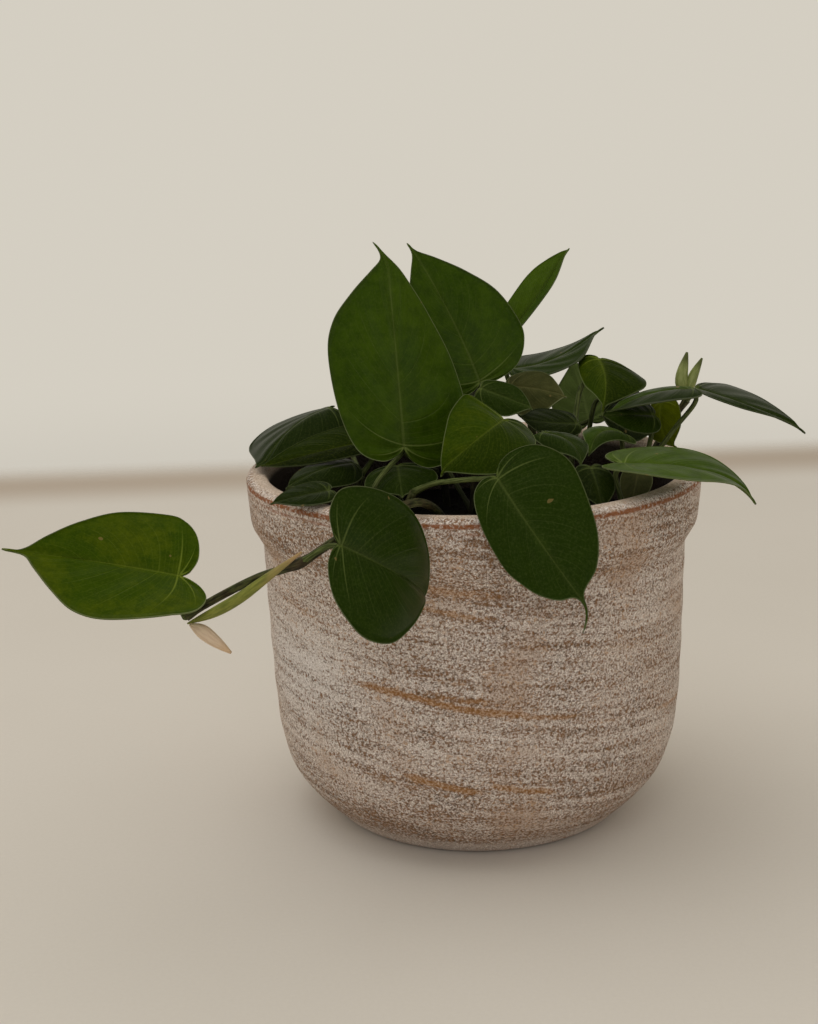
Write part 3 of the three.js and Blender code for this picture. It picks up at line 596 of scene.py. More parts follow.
def blade(name, looks, *places, tint=0.0, **shape):
    """A closed blade: the sheet moved half its thickness up and down along its normals, thinner at the edge,
    with a wall round the rim. The corners carry their place (s, side * v, tint) and their distances to the
    midrib and the rim with the row pace, so that the veins follow the surface."""
    slot, *sides = looks
    (sheet, s, v, rib_gap, rim_gap, pace), HEARTS[name] = heart_sheet(*places, **shape)
    used, compact = np.unique(HEART_NUMBERS, return_inverse=True)
    points = sheet.reshape(-1, 3)[used]
    edge_share = np.abs(v.ravel()[used])
    normals = np.zeros_like(points)
    for part in HEART_FACES:
        corners = points[compact[part]]
        turn = np.cross(corners[:, 1] - corners[:, 0], corners[:, -1] - corners[:, 0])
        for k in range(part.shape[1]):
            np.add.at(normals, compact[part[:, k]], turn)
    normals /= np.linalg.norm(normals, axis=1, keepdims=True)
    thickness = (BLADE_MIDDLE + (BLADE_EDGE - BLADE_MIDDLE) * edge_share ** 4)[:, None]
    count = len(points)
    both = np.vstack([points + normals * thickness / 2, points - normals * thickness / 2])
    grid_faces = HEART_FACES + [part[:, ::-1] for part in HEART_FACES]
    faces = [compact[part] for part in HEART_FACES] + [compact[part][:, ::-1] + count for part in HEART_FACES]
    for line in HEART_RIM:
        wall = np.stack([line[1:], line[:-1]], -1)
        grid_faces.append(np.concatenate([wall, wall[:, ::-1]], -1))
        faces.append(np.concatenate([compact[wall], compact[wall[:, ::-1]] + count], -1))
    made = piece("leaf_" + name, "_blade", both, faces, sides, slot)
    upper = sum(len(part) for part in HEART_FACES)
    slots = np.zeros(len(made.data.polygons), np.int32)
    slots[upper:2 * upper] = 1
    made.data.polygons.foreach_set("material_index", slots)
    corners = np.concatenate([part.ravel() for part in grid_faces])
    tints = np.broadcast_to(tint, 2)[:, None, None] + 0 * s
    lay = np.stack([s.ravel(), v.ravel(), tints.ravel()], -1)
    reach = np.stack([rib_gap.ravel(), rim_gap.ravel(), pace.ravel()], -1)
    attach(made, "lay", lay[corners])
    attach(made, "reach", reach[corners])


BLADE_MOTTLE = (26, 42, 4)
BLADE_PAINTED_SHADE = (18, 26, 4)
BLADE_RIM = (140, 148, 106)
BLADE_SCAR = (132, 112, 66)


def blade_look(name, deep, fresh, vein, rough, underside=False, sheen=0.12):
    """Green that clouds between deep and fresh in patches and a fine mottle; tint moves it to fresh, which on
    backlit blades is partly painted light, or below 0 to painted shade, where veins and rim are painted
    fainter too. Veins are lines of equal s, arched towards the tip; the distance to the nearest in
    millimetres is its share of the row spacing times the pace. The rim has a thin pale line, and a few scars
    are brown. A fresh leaf has less sheen."""
    look = Look(name, sheen)
    place = look.place()
    lay = look.carried("lay", "Vector")
    reach = look.carried("reach", "Vector")
    s, v, tint = (look.axis(lay, name) for name in "XYZ")
    rib_gap, rim_gap, pace = (look.axis(reach, name) for name in "XYZ")
    bent = s - v * v * VEIN_ARCH

    def lines(count, width):
        """1 on the middle of each vein and 0 beyond its width."""
        gap = abs((bent * count).fraction() - 0.5) * pace / count
        return gap.rise(width, width * 0.25)

    outward = abs(v)
    main = lines(VEINS, 0.42) * outward.rise(1.0, 0.55)
    fine = lines(VEINS * FINE_VEINS, 0.16) * outward.rise(1.0, 0.6)
    fan = rib_gap.rise(22, 4) * s.rise(0.52, 0.42)
    rib = (rib_gap + (s - FAN_SHARE) * 0.7).rise(GROOVE_WIDTH, 0.3)
    halo = (rib_gap + (s - FAN_SHARE) * 2.2).rise(3.4, 0.4)
    cloud = look.noise(place, 55, 3.0, 0.55)
    mottle = look.noise(place, 260, 3.0, 0.65)
    cells = look.noise(place, 1500, 2.0, 0.6)
    scars = look.noise(place, 340, 0.0).rise(0.85, 0.88)
    # Above 0 the tint turns to the fresh green, which on backlit blades is painted light coming through.
    colour = look.mix(cloud.rise(0.3, 0.7) * 0.6 + (mottle - 0.5) * 1.1 + tint, deep, fresh)
    colour = look.mix(mottle.rise(0.6, 0.34) * 0.16, colour, BLADE_MOTTLE)
    # Painted shade: below 0 the tint turns the colour to the shade tone and makes veins and rim fainter.
    shade = (0 - tint).greater(0)
    plain = 1 - shade * 0.65
    colour = look.mix(shade, colour, BLADE_PAINTED_SHADE)
    veins = main * (0.04 + fan * 0.42) + fine * 0.09 + halo * 0.08
    colour = look.mix(veins * plain + cells.rise(0.4, 0.8) * 0.1, colour, vein)
    colour = look.mix(rib * plain * 0.24, colour, vein)
    rim = rim_gap.rise(0.42, 0.25) * (0.4 + s.rise(0.5, 0.2) * 0.3)
    colour = look.mix(rim * plain, colour, BLADE_RIM)
    colour = look.mix(scars * 0.6, colour, BLADE_SCAR)
    rise = 1.0 if underside else -1.0
    relief = (main * 0.05 + fine * 0.02 + rib * 0.12) * rise + cells * 0.02
    roughness = rough + (cloud - 0.5) * 0.16 + cells * 0.06
    return look.paint(Base_Color=colour, Roughness=roughness, Normal=look.bump(relief))


GREEN = [
    "leaf_dark",
    blade_look("leaf_dark_upper", (46, 70, 0), (66, 90, 4), (120, 134, 70), 0.31),
    blade_look("leaf_dark_under", (74, 94, 36), (92, 110, 52), (124, 138, 80), 0.6, underside=True),
]
blade(
    "tall_front", GREEN, (-22.6, -38.9, 139.9), (-27.3, -28.6, 206.6), (0.12, -0.99, 0.1),
    (22.4, 0.48, 0.06, 8, -14, -15), (23.3, 0.12, 0.12, -8, -10, -88), arch=16, droop=-3, hook=4.2,
    drip=0.08, wave=0.3, tint=0.12,
)
blade(
    "tall_back", GREEN, (2.9, -2, 154.8), (-21.3, 8.1, 202.7), (0.23, -0.95, 0.19),
    (17.3, 0.25, 0.04, 10, -25, -25), (22.1, 0.22, 0.04, 0, -8, -12), arch=18, droop=-2, bow=-1.1, hook=0.4,
    drip=0.08, tint=0.05,
)
blade(
    "spear", GREEN, (11.3, 33.5, 163), (36.2, 40.1, 196.8), (-0.8, -0.58, 0.15),
    (9.5, 0.5, 0.12, 27, 3, -9), (5, 0.55, 0.11, 24, 6, 3), arch=17, bow=-3.4, hook=-0.6, drip=0.03,
    wave=0.2, tint=(1.2, 0.1),
)


# The two leaves that hang in front of the pot: full-grown dark blades, their faces to the light. The right
# one hangs over the rim on its own long stalk, the left one from the runner.

blade(
    "over_front_rim", GREEN, (7.5, -74.5, 136.9), (37.3, -98.3, 96.9), (-0.05, -0.85, 0.55),
    (22.2, 0.19, 0.09, 3, -6, -10), (13.7, 0.45, 0.04, 3, -19, -18), arch=11, droop=10, bow=-0.9, hook=-6,
    drip=0.17, full=0.8, tint=-0.5,
)
blade(
    "over_left_rim", GREEN, (-38.9, -111.8, 126.3), (-15.4, -85.9, 103.9), (0.44, -0.67, 0.6),
    (23.1, 0.41, 0.11, 31, -8, -23), (24.8, 0.24, 0.09, 5, -11, -30), arch=59, droop=-2, bow=-3.1,
    hook=-1.8, drip=0.02, tint=-0.5,
)


# The leaf at the end of the runner and the young ones: thin blades of a softer, yellower green, partly their
# own colour and partly painted light coming through them. Those that sit deep between the others on short
# stalks get painted shade that makes them look nearly as dark.

# The fresh green is partly painted light: it stands for light shining through the thin blades.
FRESH_AND_BACKLIT = [
    "leaf_light",
    blade_look("leaf_light_upper", (55, 77, 0), (87, 98, 2), (128, 142, 50), 0.31, sheen=0.04),
    blade_look("leaf_light_under", (112, 130, 50), (136, 152, 68), (160, 172, 96), 0.55, underside=True),
]
blade(
    "runner", FRESH_AND_BACKLIT, (-86.7, -111.4, 117.5), (-136.5, -119, 128.3), (-0.11, -0.53, 0.84),
    (26.2, 0.37, 0.17, 19, 20, -25), (24.4, 0.11, 0.1, 9, -15, -6), arch=-12, bow=-2.1, hook=-0.8,
    drip=0.12, wave=0.5, tint=-0.1,
)
blade(
    "left_bright", FRESH_AND_BACKLIT, (-34.2, -26.8, 139.7), (-71.6, -30.1, 131.5), (0.05, -0.37, 0.93),
    (7, 0.33, 0.1, 10, -20, -20), (11, 0.26, 0.09, 10, -4, -5), arch=14, bow=0.6, hook=-2, drip=0.04,
    tint=(-0.95, -0.75),
)
blade(
    "hanging", FRESH_AND_BACKLIT, (67.3, 9.3, 144.7), (70.7, 3.4, 128.7), (-0.16, -0.94, 0.29),
    (7.5, 0.37, 0.02, -1, -26, -24), (6.1, 0.5, 0.02, 0, -24, -27), arch=14, bow=-1.8, hook=1.7, drip=0.04,
    wave=0.3, tint=0.9,
)
blade(
    "folded_centre", FRESH_AND_BACKLIT, (10.2, -45.8, 149.6), (-11.3, -60.4, 135.2), (-0.28, -0.85, 0.45),
    (16.1, 0.4, 0.24, 6, 6, -20), (16.6, 0.12, 0.05, -1, -9, -23), arch=89, bow=2.2, hook=1.5, drip=0.07,
    wave=0.6, tint=(-0.55, -0.25),
)
blade(
    "right_folded", FRESH_AND_BACKLIT, (45.4, 10.3, 160), (44.3, -10.4, 143.4), (0.17, -0.62, 0.76),
    (17, 0.14, 0.04, 0, -35, -5), (9, 0.14, 0.2, -27, -55, -60), arch=32, droop=20, bow=1.5, hook=0.7,
    drip=0.14, tint=(-0.7, -0.4),
)


# The low leaves on the left and in the middle: dark blades on short stalks, mostly small and given painted
# shade, that lie over one another and over the rim.

blade(
    "left_back", GREEN, (-51.3, 9.8, 144.4), (-73.5, -12.9, 127.4), (-0.25, -0.33, 0.91),
    (15.8, 0.33, 0.04, -6, -62, -21), (24.2, 0.57, 0.19, -17, -25, -23), arch=44, droop=-6, bow=-1.7,
    hook=-3.8, drip=0.03, wave=0.5, tint=-0.75,
)
blade(
    "left_edge", GREEN, (-41, -29, 132.5), (-61.5, -48, 128.5), (0.1, -0.1, 1),
    (9, 0.3, 0.08, -14, -62, -50), (8, 0.3, 0.1, 5, -15, -15), arch=30, tint=-0.8,
)
blade(
    "left_low", GREEN, (-47, -54, 129), (-65, -62, 127), (0.1, -0.3, 0.9),
    (7, 0.3, 0.1, 10, -15, -15), (6, 0.3, 0.1, 10, -5, -5), arch=10, wave=0.3, tint=-0.8,
)
blade(
    "grey_front", GREEN, (-25, -37, 133), (-23, -51, 125.5), (0, -0.7, 0.7),
    (13, 0.35, 0.1, -4, -20, -20), (12, 0.35, 0.1, -4, -20, -20), arch=10, drip=0.06, wave=0.3, tint=-0.6,
)
blade(
    "grey_centre", GREEN, (3.2, -11.6, 154.2), (20.9, -20.6, 148.5), (-0.14, -0.79, 0.59),
    (5.5, 0.45, 0.05, -1, -16, -15), (6.8, 0.45, 0.05, -2, -17, -16), arch=8, hook=-0.6, drip=0.04,
    wave=0.3, tint=-0.5,
)
blade(
    "dark_centre", GREEN, (36.1, -8.9, 140.8), (16.2, -15.9, 144.4), (0, -0.6, 0.8),
    (6.5, 0.5, 0.08, 0, -14, -17), (8, 0.5, 0.05, -3, -19, -12), arch=6, bow=1.1, hook=-1.9, drip=0.04,
    wave=0.3, tint=-0.9,
)
blade(
    "curl_left", GREEN, (24.4, -31.2, 142), (35.2, -46.3, 133.7), (0.18, -0.35, 0.92),
    (8.6, 0.18, 0.13, 9, -49, -47), (7.8, 0.3, 0.04, 15, -48, -51), arch=39, droop=3, bow=3.3, drip=0.06,
    wave=0.3, tint=-0.6,
)
blade(
    "curl_right", GREEN, (51.3, -18.2, 138.8), (39, -36.5, 134.8), (0.15, -0.44, 0.89),
    (5.6, 0.14, 0.12, 7, -54, -48), (7.1, 0.3, 0.05, 8, -57, -54), arch=58, droop=4, bow=-3.6, hook=-1,
    drip=0.04, wave=0.3, tint=(-0.5, -0.1),
)
blade(
    "dark_front", GREEN, (38.5, -46.8, 133.4), (41.5, -58, 121.6), (0.3, -0.85, 0.45),
    (7, 0.3, 0.1, 0, -15, -15), arch=14, drip=0.06, wave=0.3, tint=-0.85,
)
blade(
    "middle", GREEN, (-16, 6, 136), (-40, 26, 132), (-0.2, 0.1, 1),
    (13, 0.3, 0.1, 6, -14, -14), arch=20, drip=0.07, tint=-0.5,
)


# The leaves on the right: they arch outwards over the rim, their upper faces turned to the sky. The inner
# ones are given painted shade, as they lie in the shade of the rest; the lowest one, over the rim, has a
# brighter tint.

blade(
    "right_crest", GREEN, (15, 27, 154.7), (47.8, 23.8, 170), (0.11, -0.14, 0.98),
    (14, 0.14, 0.04, 6, -7, -20), (12, 0.6, 0.04, -1, -25, -11), arch=-37, droop=5, bow=-3.2, hook=-1.6,
    drip=0.08, tint=-0.5,
)
blade(
    "right_shade", GREEN, (63, -3, 142), (44, -9.5, 143.5), (0, -0.55, 0.83),
    (9, 0.3, 0.1, 0, -15, -15), arch=10, drip=0.06, wave=0.3, tint=-0.6,
)
blade(
    "right_inward", GREEN, (76.4, -2.1, 150.9), (47.5, -15.1, 145.2), (0.02, -0.05, 1),
    (10.7, 0.27, 0.03, 8, -23, -19), (7, 0.4, 0.05, 6, -25, -14), arch=19, bow=-3.7, hook=-3.6,
    tint=(-0.7, -0.2),
)
blade(
    "right_outward", GREEN, (79.4, 8.9, 149.1), (114.3, -15.9, 137.7), (-0.01, -0.02, 1),
    (15, 0.14, 0.04, 9, -12, -17), (5, 0.24, 0.04, 11, -13, -19), arch=19, droop=8, bow=-3.8, hook=-1.6,
    drip=0.09, tint=-0.7,
)
blade(
    "over_right_rim", GREEN, (49, -46.5, 134.5), (91, -54.5, 122.3), (0, 0.05, 1),
    (17, 0.36, 0.14, 20, 2, -8), (16, 0.3, 0.14, 10, -18, -22), arch=14, droop=44, drip=0.08, wave=0.5,
    tint=0.4,
)


# Two older leaves low on the right: olive and brownish blades that have lost their shine, on stalks in the
# shade of the others.

OLIVE = [
    "leaf_olive",
    blade_look("leaf_olive_upper", (58, 62, 26), (84, 84, 42), (118, 116, 70), 0.48),
    blade_look("leaf_olive_under", (92, 92, 56), (108, 104, 66), (134, 130, 92), 0.62, underside=True),
]
blade(
    "olive", OLIVE, (13.6, 9, 151), (33.5, 2, 148), (0.03, -0.8, 0.6),
    (7.5, 0.4, 0.1, -2, -16, -16), (11, 0.4, 0.05, -1, -16, -16), arch=8, bow=1,
)
blade(
    "dark_round", OLIVE, (56, -26, 128), (52, -41, 119), (0, -0.7, 0.6),
    (5.5, 0.35, 0.1, 0, -15, -15), arch=10, drip=0.04, full=1, wave=0.2,
)


# The leaves at the back, which the front view hides: dark blades of the same kind, spread evenly over the
# rear rim on their own stalks.

blade(
    "rear_upright", GREEN, (-24, 26, 146), (-30, 42, 178), (0.1, 0.9, 0.2),
    (18, 0.3, 0.09, 6, -14, -14), arch=24, bow=1, drip=0.08, wave=0.5,
)
blade(
    "rear_left", GREEN, (-36, 44, 139), (-56, 70, 121), (-0.35, 0.5, 0.9),
    (15, 0.3, 0.1, 6, -18, -18), arch=40, drip=0.07, wave=0.5,
)
blade(
    "rear_over_rim", GREEN, (-6, 60, 142), (-14, 96, 110), (-0.1, 0.7, 0.75),
    (18, 0.3, 0.1, 6, -16, -16), arch=46, drip=0.1, wave=0.5,
)
blade(
    "rear_right", GREEN, (44, 41, 132), (38, 54, 154), (0.1, 0.9, 0.3),
    (13, 0.3, 0.1, 6, -16, -16), arch=24, drip=0.08, wave=0.5, tint=0.9,
)
blade(
    "rear_side", GREEN, (50, 29, 142.5), (69, 41, 127.5), (0.2, -0.7, 0.7),
    (14, 0.3, 0.1, 6, -16, -16), arch=24, drip=0.07, tint=-0.8,
)


# The stems with their leaf stalks: round, fleshy and finely ribbed, swollen where a leaf springs, green
# where they are young, brown and corky lower down, and painted nearly black with painted shade in the depth
# of the pot. Each stalk runs up under its blade and into the notch.

STALK_RADIUS = 0.95
STEM_SIDES = 20
RING_GAP = 1.1
HOLE_DEPTH = 12
STEM_RIBS = 6
STEM_RIB_SHARE = 0.035
STALK_RIB_SHARE = 0.03
STREAK_SHARE = 0.12
STEM_AGE = 0.6
STALK_AGE = 0.25
# How far the end of a stalk stays below its blade, and where it starts to bend up to it: below and behind
STALK_END = 0.3
STALK_BELOW = 4
STALK_BEHIND = 1.5
STEM_GREENS = ((52, 64, 24), (104, 114, 62))
STEM_BROWNS = ((30, 24, 15), (80, 68, 46))
STEM_PAINTED_SHADE = (16, 13, 9)
# Height and radius, in metres, where the painted shade inside the pot begins and where it is full
STEM_SHADE_DOWN = (0.136, 0.112)
STEM_SHADE_IN = (0.082, 0.070)


def stem_look():
    """Green that turns brown in patches, the more so the older it is, with long fine streaks, and painted
    shade that makes it dark low down inside the pot."""
    look = Look("stem_skin", 0.25)
    place = look.place()
    patches = look.noise(place, 160, 3.0, 0.6)
    fibres = look.noise(look.carried("grain", "Vector"), 2.4, 2.0, 0.6)
    green = look.mix(fibres.rise(0.3, 0.7), *STEM_GREENS)
    brown = look.mix(fibres.rise(0.3, 0.7), *STEM_BROWNS)
    colour = look.mix((look.carried("age") + (patches - 0.5) * 0.7).rise(0.35, 0.75), green, brown)
    # Painted shade: low down inside the pot the stem is painted nearly black.
    low = look.axis(place, "Z").rise(*STEM_SHADE_DOWN) * look.radius(place).rise(*STEM_SHADE_IN)
    colour = look.mix(low * 0.85, colour, STEM_PAINTED_SHADE)
    return look.paint(Base_Color=colour, Roughness=0.5 + patches * 0.25, Normal=look.bump(fibres * 0.1))


def lengthwise(tubes):
    """Coordinates that follow each tube: across its ring in radii, and a little of the way along it in
    millimetres; each tube starts in another place, so that none has its neighbour's streaks."""
    lay = []
    for number, (points, _) in enumerate(tubes):
        rings = (len(points) - 2) // STEM_SIDES
        angle = np.tile(np.linspace(0, 2 * np.pi, STEM_SIDES, endpoint=False), rings)
        along = np.repeat(np.arange(rings) * RING_GAP * STREAK_SHARE, STEM_SIDES) + 10 * number
        lay += [np.stack([np.cos(angle), np.sin(angle), along], -1), [[0, 0, along[0]], [0, 0, along[-1]]]]
    return np.vstack(lay)


def round_tube(points, radius_at, ribs):
    """Rings round the curve through the points. The rings' sideways direction is the cross of the curve's way
    and of the direction it follows least, so that they never twist; ribs swell the ring STEM_RIBS times."""
    length = np.linalg.norm(np.diff(np.array(points, float), axis=0), axis=1).sum()
    line = even_curve(points, max(8, int(length / RING_GAP)))
    way = np.gradient(line, axis=0)
    way /= np.linalg.norm(way, axis=1, keepdims=True)
    least = np.linalg.svd(way)[2][-1]
    side = np.cross(way, least)
    side /= np.linalg.norm(side, axis=1, keepdims=True)
    up = np.cross(way, side)
    angle = np.linspace(0, 2 * np.pi, STEM_SIDES, endpoint=False)
    radius = radius_at(np.linspace(0, 1, len(line)), line)[:, None] * (1 + ribs * np.cos(STEM_RIBS * angle))
    ring = radius[..., None] * (side[:, None] * np.cos(angle)[:, None] + up[:, None] * np.sin(angle)[:, None])
    return skin(line[:, None] + ring, line[0], line[-1])


def joined(parts):
    """Several surfaces as one list of points and faces."""
    faces = []
    start = 0
    for points, shape in parts:
        faces += [part + start for part in shape]
        start += len(points)
    return np.vstack([points for points, _ in parts]), faces


def stem(name, radius, foot, path, **stalks):
    """The stem rises straight out of its hole at the foot, then follows its path, and gets thinner by a
    quarter. A stalk leaves it at a swollen point of the path, given by its number, and passes the points
    after that on its way up to its leaf. It is thicker over its first eighth and thinner over its last."""
    joints = np.array([path[at] for at, *_ in stalks.values()], float)
    whole = [(*foot, SOIL_LEVEL + rise) for rise in (STALK_END - HOLE_DEPTH, -6, -2, 3.5)] + path

    def swelling(share, line):
        gap = np.linalg.norm(line[:, None] - joints[None], axis=-1).min(1)
        return radius * (1 - 0.25 * share) * (0.9 + 0.28 * np.exp(-(gap / 2.4) ** 2))

    def taper(share, line):
        thicker = 0.4 * np.exp(-(share / 0.12) ** 2)
        thinner = 0.22 * np.clip(share * 8 - 7, 0, 1)
        return STALK_RADIUS * (0.92 + thicker - thinner)

    parts = [round_tube(whole, swelling, STEM_RIB_SHARE)]
    ages = [np.full(len(parts[0][0]), STEM_AGE)]
    for leaf, (at, *via) in stalks.items():
        root, along, normal = HEARTS[leaf]
        bend = root - STALK_BELOW * normal - STALK_BEHIND * along
        points = [path[at], *via, bend, root - STALK_END * normal]
        parts.append(round_tube(points, taper, STALK_RIB_SHARE))
        ages.append(np.full(len(parts[-1][0]), STALK_AGE))
    made = piece("vine_" + name, "_stem", *joined(parts), [STEM_SKIN], "stem")
    attach(made, "age", np.concatenate(ages))
    attach(made, "grain", lengthwise(parts))


STEM_SKIN = stem_look()
stem(
    "runner", 1.7, (-10, -38), [
        (-9.5, -54, 118), (-17, -74, 129.5), (-29, -91, 129), (-42, -104, 125), (-51, -112, 121),
        (-63, -116, 118), (-78, -118.5, 111), (-84, -119, 107.5),
    ],
    over_left_rim=(4,), runner=(7, (-86, -115, 108.5)),
)
stem(
    "front", 1.6, (-24, -47), [(-23, -53, 116), (-21.5, -56.5, 124), (-19, -58, 129)],
    over_front_rim=(2, (-13, -62, 132.5), (-5, -66.5, 134.5)), grey_front=(0, (-24, -40, 122)),
)
stem(
    "left", 1.6, (-40, -32), [(-40, -32, 110), (-39, -31, 120), (-38, -29, 128)],
    tall_front=(0, (-35, -47, 119), (-32, -48, 129)), left_bright=(2,), left_back=(2, (-42, -8, 131)),
    left_edge=(1,), left_low=(0, (-44, -43, 116)),
)
stem(
    "centre", 1.7, (0, -12), [(0, -12, 110), (1, -9, 128), (2, -4, 143)],
    tall_back=(2,), folded_centre=(0, (8, -28, 130)), grey_centre=(1, (4, -8, 140)),
    middle=(0, (-8, -2, 122)),
)
stem(
    "right", 1.6, (32, -14), [(32, -13, 112), (34, -7, 124), (36, 2, 138)],
    right_folded=(2, (39, 10, 150)), olive=(1, (22, 10, 140)), dark_centre=(1,),
    curl_left=(0, (24, -22, 126)),
)
stem(
    "far_right", 1.6, (54, -14), [(54, -13, 110), (60, -2, 122), (70, 14, 134), (77, 15, 144)],
    right_outward=(3,), right_inward=(1, (70, -2, 136)), hanging=(2,), right_shade=(1,),
    curl_right=(0, (53, -17, 124)), dark_round=(0, (56, -18, 117)),
)
stem(
    "front_right", 1.6, (42, -36), [(43, -38, 108), (45, -43, 113)],
    over_right_rim=(1, (48, -49, 122)), dark_front=(0, (39, -37, 120)),
)
stem(
    "rear", 1.7, (-10, 30), [(-11, 32, 114), (-12, 34, 124), (-10, 44, 134)],
    rear_upright=(1, (-20, 26, 136)), rear_left=(0, (-26, 36, 122)), rear_over_rim=(2,),
)
stem(
    "rear_right", 1.7, (24, 30), [(24, 31, 114), (23, 32, 126), (20, 33, 140)],
    spear=(2, (13.4, 33, 150)), right_crest=(2,), rear_right=(1,), rear_side=(0, (40, 30, 122)),
)


# Young growth: the pale sheath that wrapped the newest leaf of the runner, the dry papery one below it, and
# the forked shoot on the right. Each is a slim pointed pod, soft, finely lined and withered at the tip.

def pod(node, slot, dark, pale, withered, *shapes):
    """Each shape is a radius and a middle line. A pod swells along a sine to its radius at a third of its
    length, runs out along a cosine to a fine point and withers there: the mesh carries how far along each
    point is."""
    def swell(radius):
        def at(share, line):
            rise = np.sin(np.pi * np.minimum(1.5 * share, 0.5))
            return radius * (0.15 + 0.85 * rise * np.cos(2.3 * np.maximum(0, share - 1 / 3)))
        return at

    look = Look(node + "_skin", 0.35)
    lines = look.noise(look.carried("grain", "Vector"), 2.4, 2.0, 0.6)
    cloud = look.noise(look.place(), 200)
    colour = look.mix(lines.rise(0.3, 0.7) * 0.6 + cloud * 0.4, dark, pale)
    colour = look.mix((look.carried("age") + cloud * 0.3).rise(0.75, 1.1), colour, withered)
    look.paint(Base_Color=colour, Roughness=0.5 + lines * 0.15, Normal=look.bump(lines * 0.12))
    parts = [round_tube(points, swell(radius), STALK_RIB_SHARE) for radius, points in shapes]
    made = piece(node, "_pod", *joined(parts), [look.material], slot)
    attach(made, "grain", lengthwise(parts))
    ages = []
    for points, _ in parts:
        rings = (len(points) - 2) // STEM_SIDES
        ages += [np.repeat(np.linspace(0, 1, rings), STEM_SIDES), (0, 1)]
    attach(made, "age", np.concatenate(ages))


pod(
    "bud_sheath", "bud_sheath", (96, 106, 36), (148, 150, 66), (176, 146, 100),
    (1.65, [
        (-83.4, -120.9, 105.9), (-75.5, -121.9, 109.4), (-68, -121.2, 113.4), (-60.5, -120.2, 118.6),
        (-49.6, -117.6, 126),
    ]),
)
pod(
    "dry_sheath", "dry_sheath", (206, 176, 146), (238, 216, 188), (220, 188, 150),
    (2.1, [(-82.6, -121.9, 106), (-79.4, -122.4, 104.3), (-75.4, -122.4, 101), (-71, -121.8, 97.1)]),
)
pod(
    "new_shoot", "young_shoot", (122, 136, 62), (174, 180, 118), (92, 100, 50),
    (2.2, [(75.5, 14, 145.5), (75, 15, 151.5), (77, 16, 161)]),
    (1.9, [(77, 14.5, 145.5), (79.2, 16, 152), (82.5, 17, 158.6)]),
)


# The studio, in metres: a pale matt floor with a band of painted shade at its soft end behind the pot, and a
# room that the camera sees as an even pale wall, painted a little darker towards its foot as painted shade,
# reflections only where it is straight behind, and the rest as brightest behind and above. A large soft lamp
# stands high on the left, a weak one in front and a small window on the right. The camera is a little above
# the rim and looks down on it.

FLOOR_NEAR = -1.6
FLOOR_FAR = 0.9
FLOOR_SIDE = 2.2
# How much the far end slants, and how far back the band of painted shade begins and is full, and the floor
# is gone and is whole
FLOOR_SKEW = 0.094
FLOOR_SHADE_BAND = (0.48, 0.55)
FLOOR_END = (0.62, 0.55)
FLOOR_TONES = ((215, 209, 200), (227, 222, 215))
BAND_SHADE_TONE = (194, 181, 167)
WALL_LIGHT = (0.66, 0.62, 0.54, 1)
ROOM_DARK = (0.05, 0.048, 0.045, 1)
# Each lamp's place, width and power
LAMPS = {
    "soft_lamp": ((-0.55, 0.1, 1.55), 1.8, 6),
    "front_fill": ((-0.3, -2.0, 1.1), 2.2, 8.8),
    "side_window": ((0.85, -1.25, 0.5), 1.0, 1.2),
}
LAMP_COLOUR = (1.0, 0.98, 0.96)
LAMP_TARGET = (0, 0, 0.1)
CAMERA_PLACE = (0, -0.5887, 0.255)
CAMERA_YAW = -0.0391
CAMERA_PITCH = 0.2446
CAMERA_ROLL = -0.0261
CAMERA_LENS = 59.77
CAMERA_SENSOR = 36


def studio_floor():
    mesh = bpy.data.meshes.new("studio_floor")
    near = [(-FLOOR_SIDE, FLOOR_NEAR, 0), (FLOOR_SIDE, FLOOR_NEAR, 0)]
    far = [(FLOOR_SIDE, FLOOR_FAR, 0), (-FLOOR_SIDE, FLOOR_FAR, 0)]
    mesh.from_pydata(near + far, [], [(0, 1, 2, 3)])
    look = Look("pale_plaster", 0.15)
    place = look.place()
    cloud = look.noise(place, 6, 3.0)
    grain = look.noise(place, 700, roughness=0.6)
    colour = look.mix(cloud * 0.6 + grain * 0.4, *FLOOR_TONES)
    away = look.axis(place, "Y") - look.axis(place, "X") * FLOOR_SKEW
    # Painted shade: a darker band where the floor runs back towards the wall.
    colour = look.mix(away.rise(*FLOOR_SHADE_BAND), colour, BAND_SHADE_TONE)
    mesh.materials.append(look.paint(Base_Color=colour, Roughness=0.9, Alpha=away.rise(*FLOOR_END)))
    put("studio_floor", mesh)


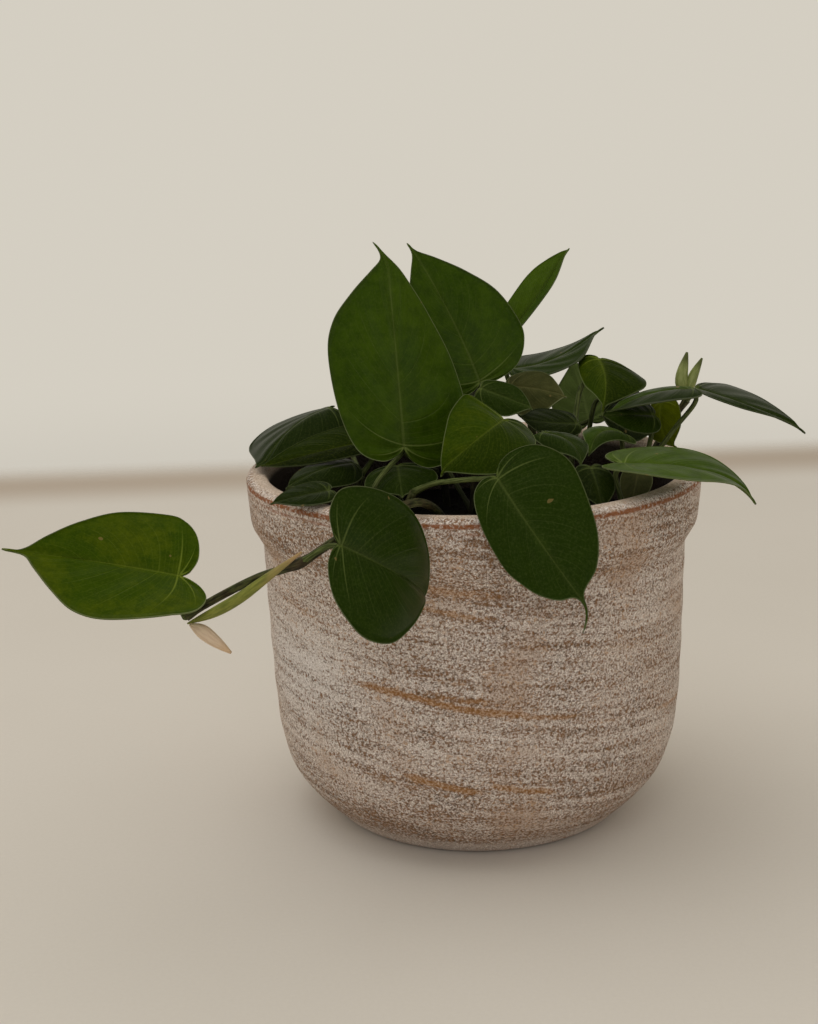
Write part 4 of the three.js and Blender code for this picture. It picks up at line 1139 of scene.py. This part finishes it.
def studio_light():
    """The room's light is a mix by direction: one slope for the light that falls on things, cut down to the
    wall straight behind for reflections, and the wall all round for the camera, with painted shade making it
    a little darker below its foot."""
    world = bpy.data.worlds.new("soft_room")
    bpy.context.scene.world = world
    world.use_nodes = True
    room = Nodes(world.node_tree)
    way = room.node("ShaderNodeTexCoord", {}, {}, "Generated")
    behind = (room.axis(way, "Y") * 0.8 + room.axis(way, "Z") * 0.6).rise(-0.5, 0.4)
    mirrored = room.node("ShaderNodeLightPath", {}, {}, "Is Glossy Ray")
    behind = behind * (1 - mirrored * (1 - room.axis(way, "Y").rise(0.4, 1) * 0.8))
    seen = room.node("ShaderNodeLightPath", {}, {}, "Is Camera Ray")
    # Painted shade: the room is painted a little darker below the wall's foot.
    behind = behind.greater(seen) * (1 - room.axis(way, "Z").rise(-0.16, -0.23) * 0.1)
    colour = room.node("ShaderNodeMix", {"data_type": "RGBA"}, {0: behind, 6: ROOM_DARK, 7: WALL_LIGHT}, 2)
    room.feed(world.node_tree.nodes["Background"].inputs["Color"], colour)
    for name, (place, size, energy) in LAMPS.items():
        lamp = bpy.data.lights.new(name, "AREA")
        lamp.shape = "DISK"
        lamp.size = size
        lamp.energy = energy
        lamp.color = LAMP_COLOUR
        stand = put(name, lamp)
        stand.location = place
        stand.rotation_euler = (Vector(LAMP_TARGET) - stand.location).to_track_quat("-Z", "Y").to_euler()
        stand.visible_glossy = name == "side_window"
        stand.visible_camera = False


def camera():
    """It looks ahead to the back, turned right by the yaw and down by the pitch, and rolls about that
    line."""
    level = np.cos(CAMERA_PITCH)
    ahead = Vector((np.sin(CAMERA_YAW) * level, np.cos(CAMERA_YAW) * level, -np.sin(CAMERA_PITCH)))
    right = Vector((np.cos(CAMERA_YAW), -np.sin(CAMERA_YAW), 0))
    up = right.cross(ahead)
    turned_right = right * np.cos(CAMERA_ROLL) + up * np.sin(CAMERA_ROLL)
    turned_up = up * np.cos(CAMERA_ROLL) - right * np.sin(CAMERA_ROLL)
    data = bpy.data.cameras.new("camera")
    data.lens = CAMERA_LENS
    data.sensor_width = CAMERA_SENSOR
    made = put("camera", data)
    turn = Matrix((turned_right, turned_up, -ahead)).transposed().to_4x4()
    made.matrix_world = Matrix.Translation(CAMERA_PLACE) @ turn
    bpy.context.scene.camera = made


studio_floor()
studio_light()
camera()
bpy.context.scene.view_settings.view_transform = "Standard"
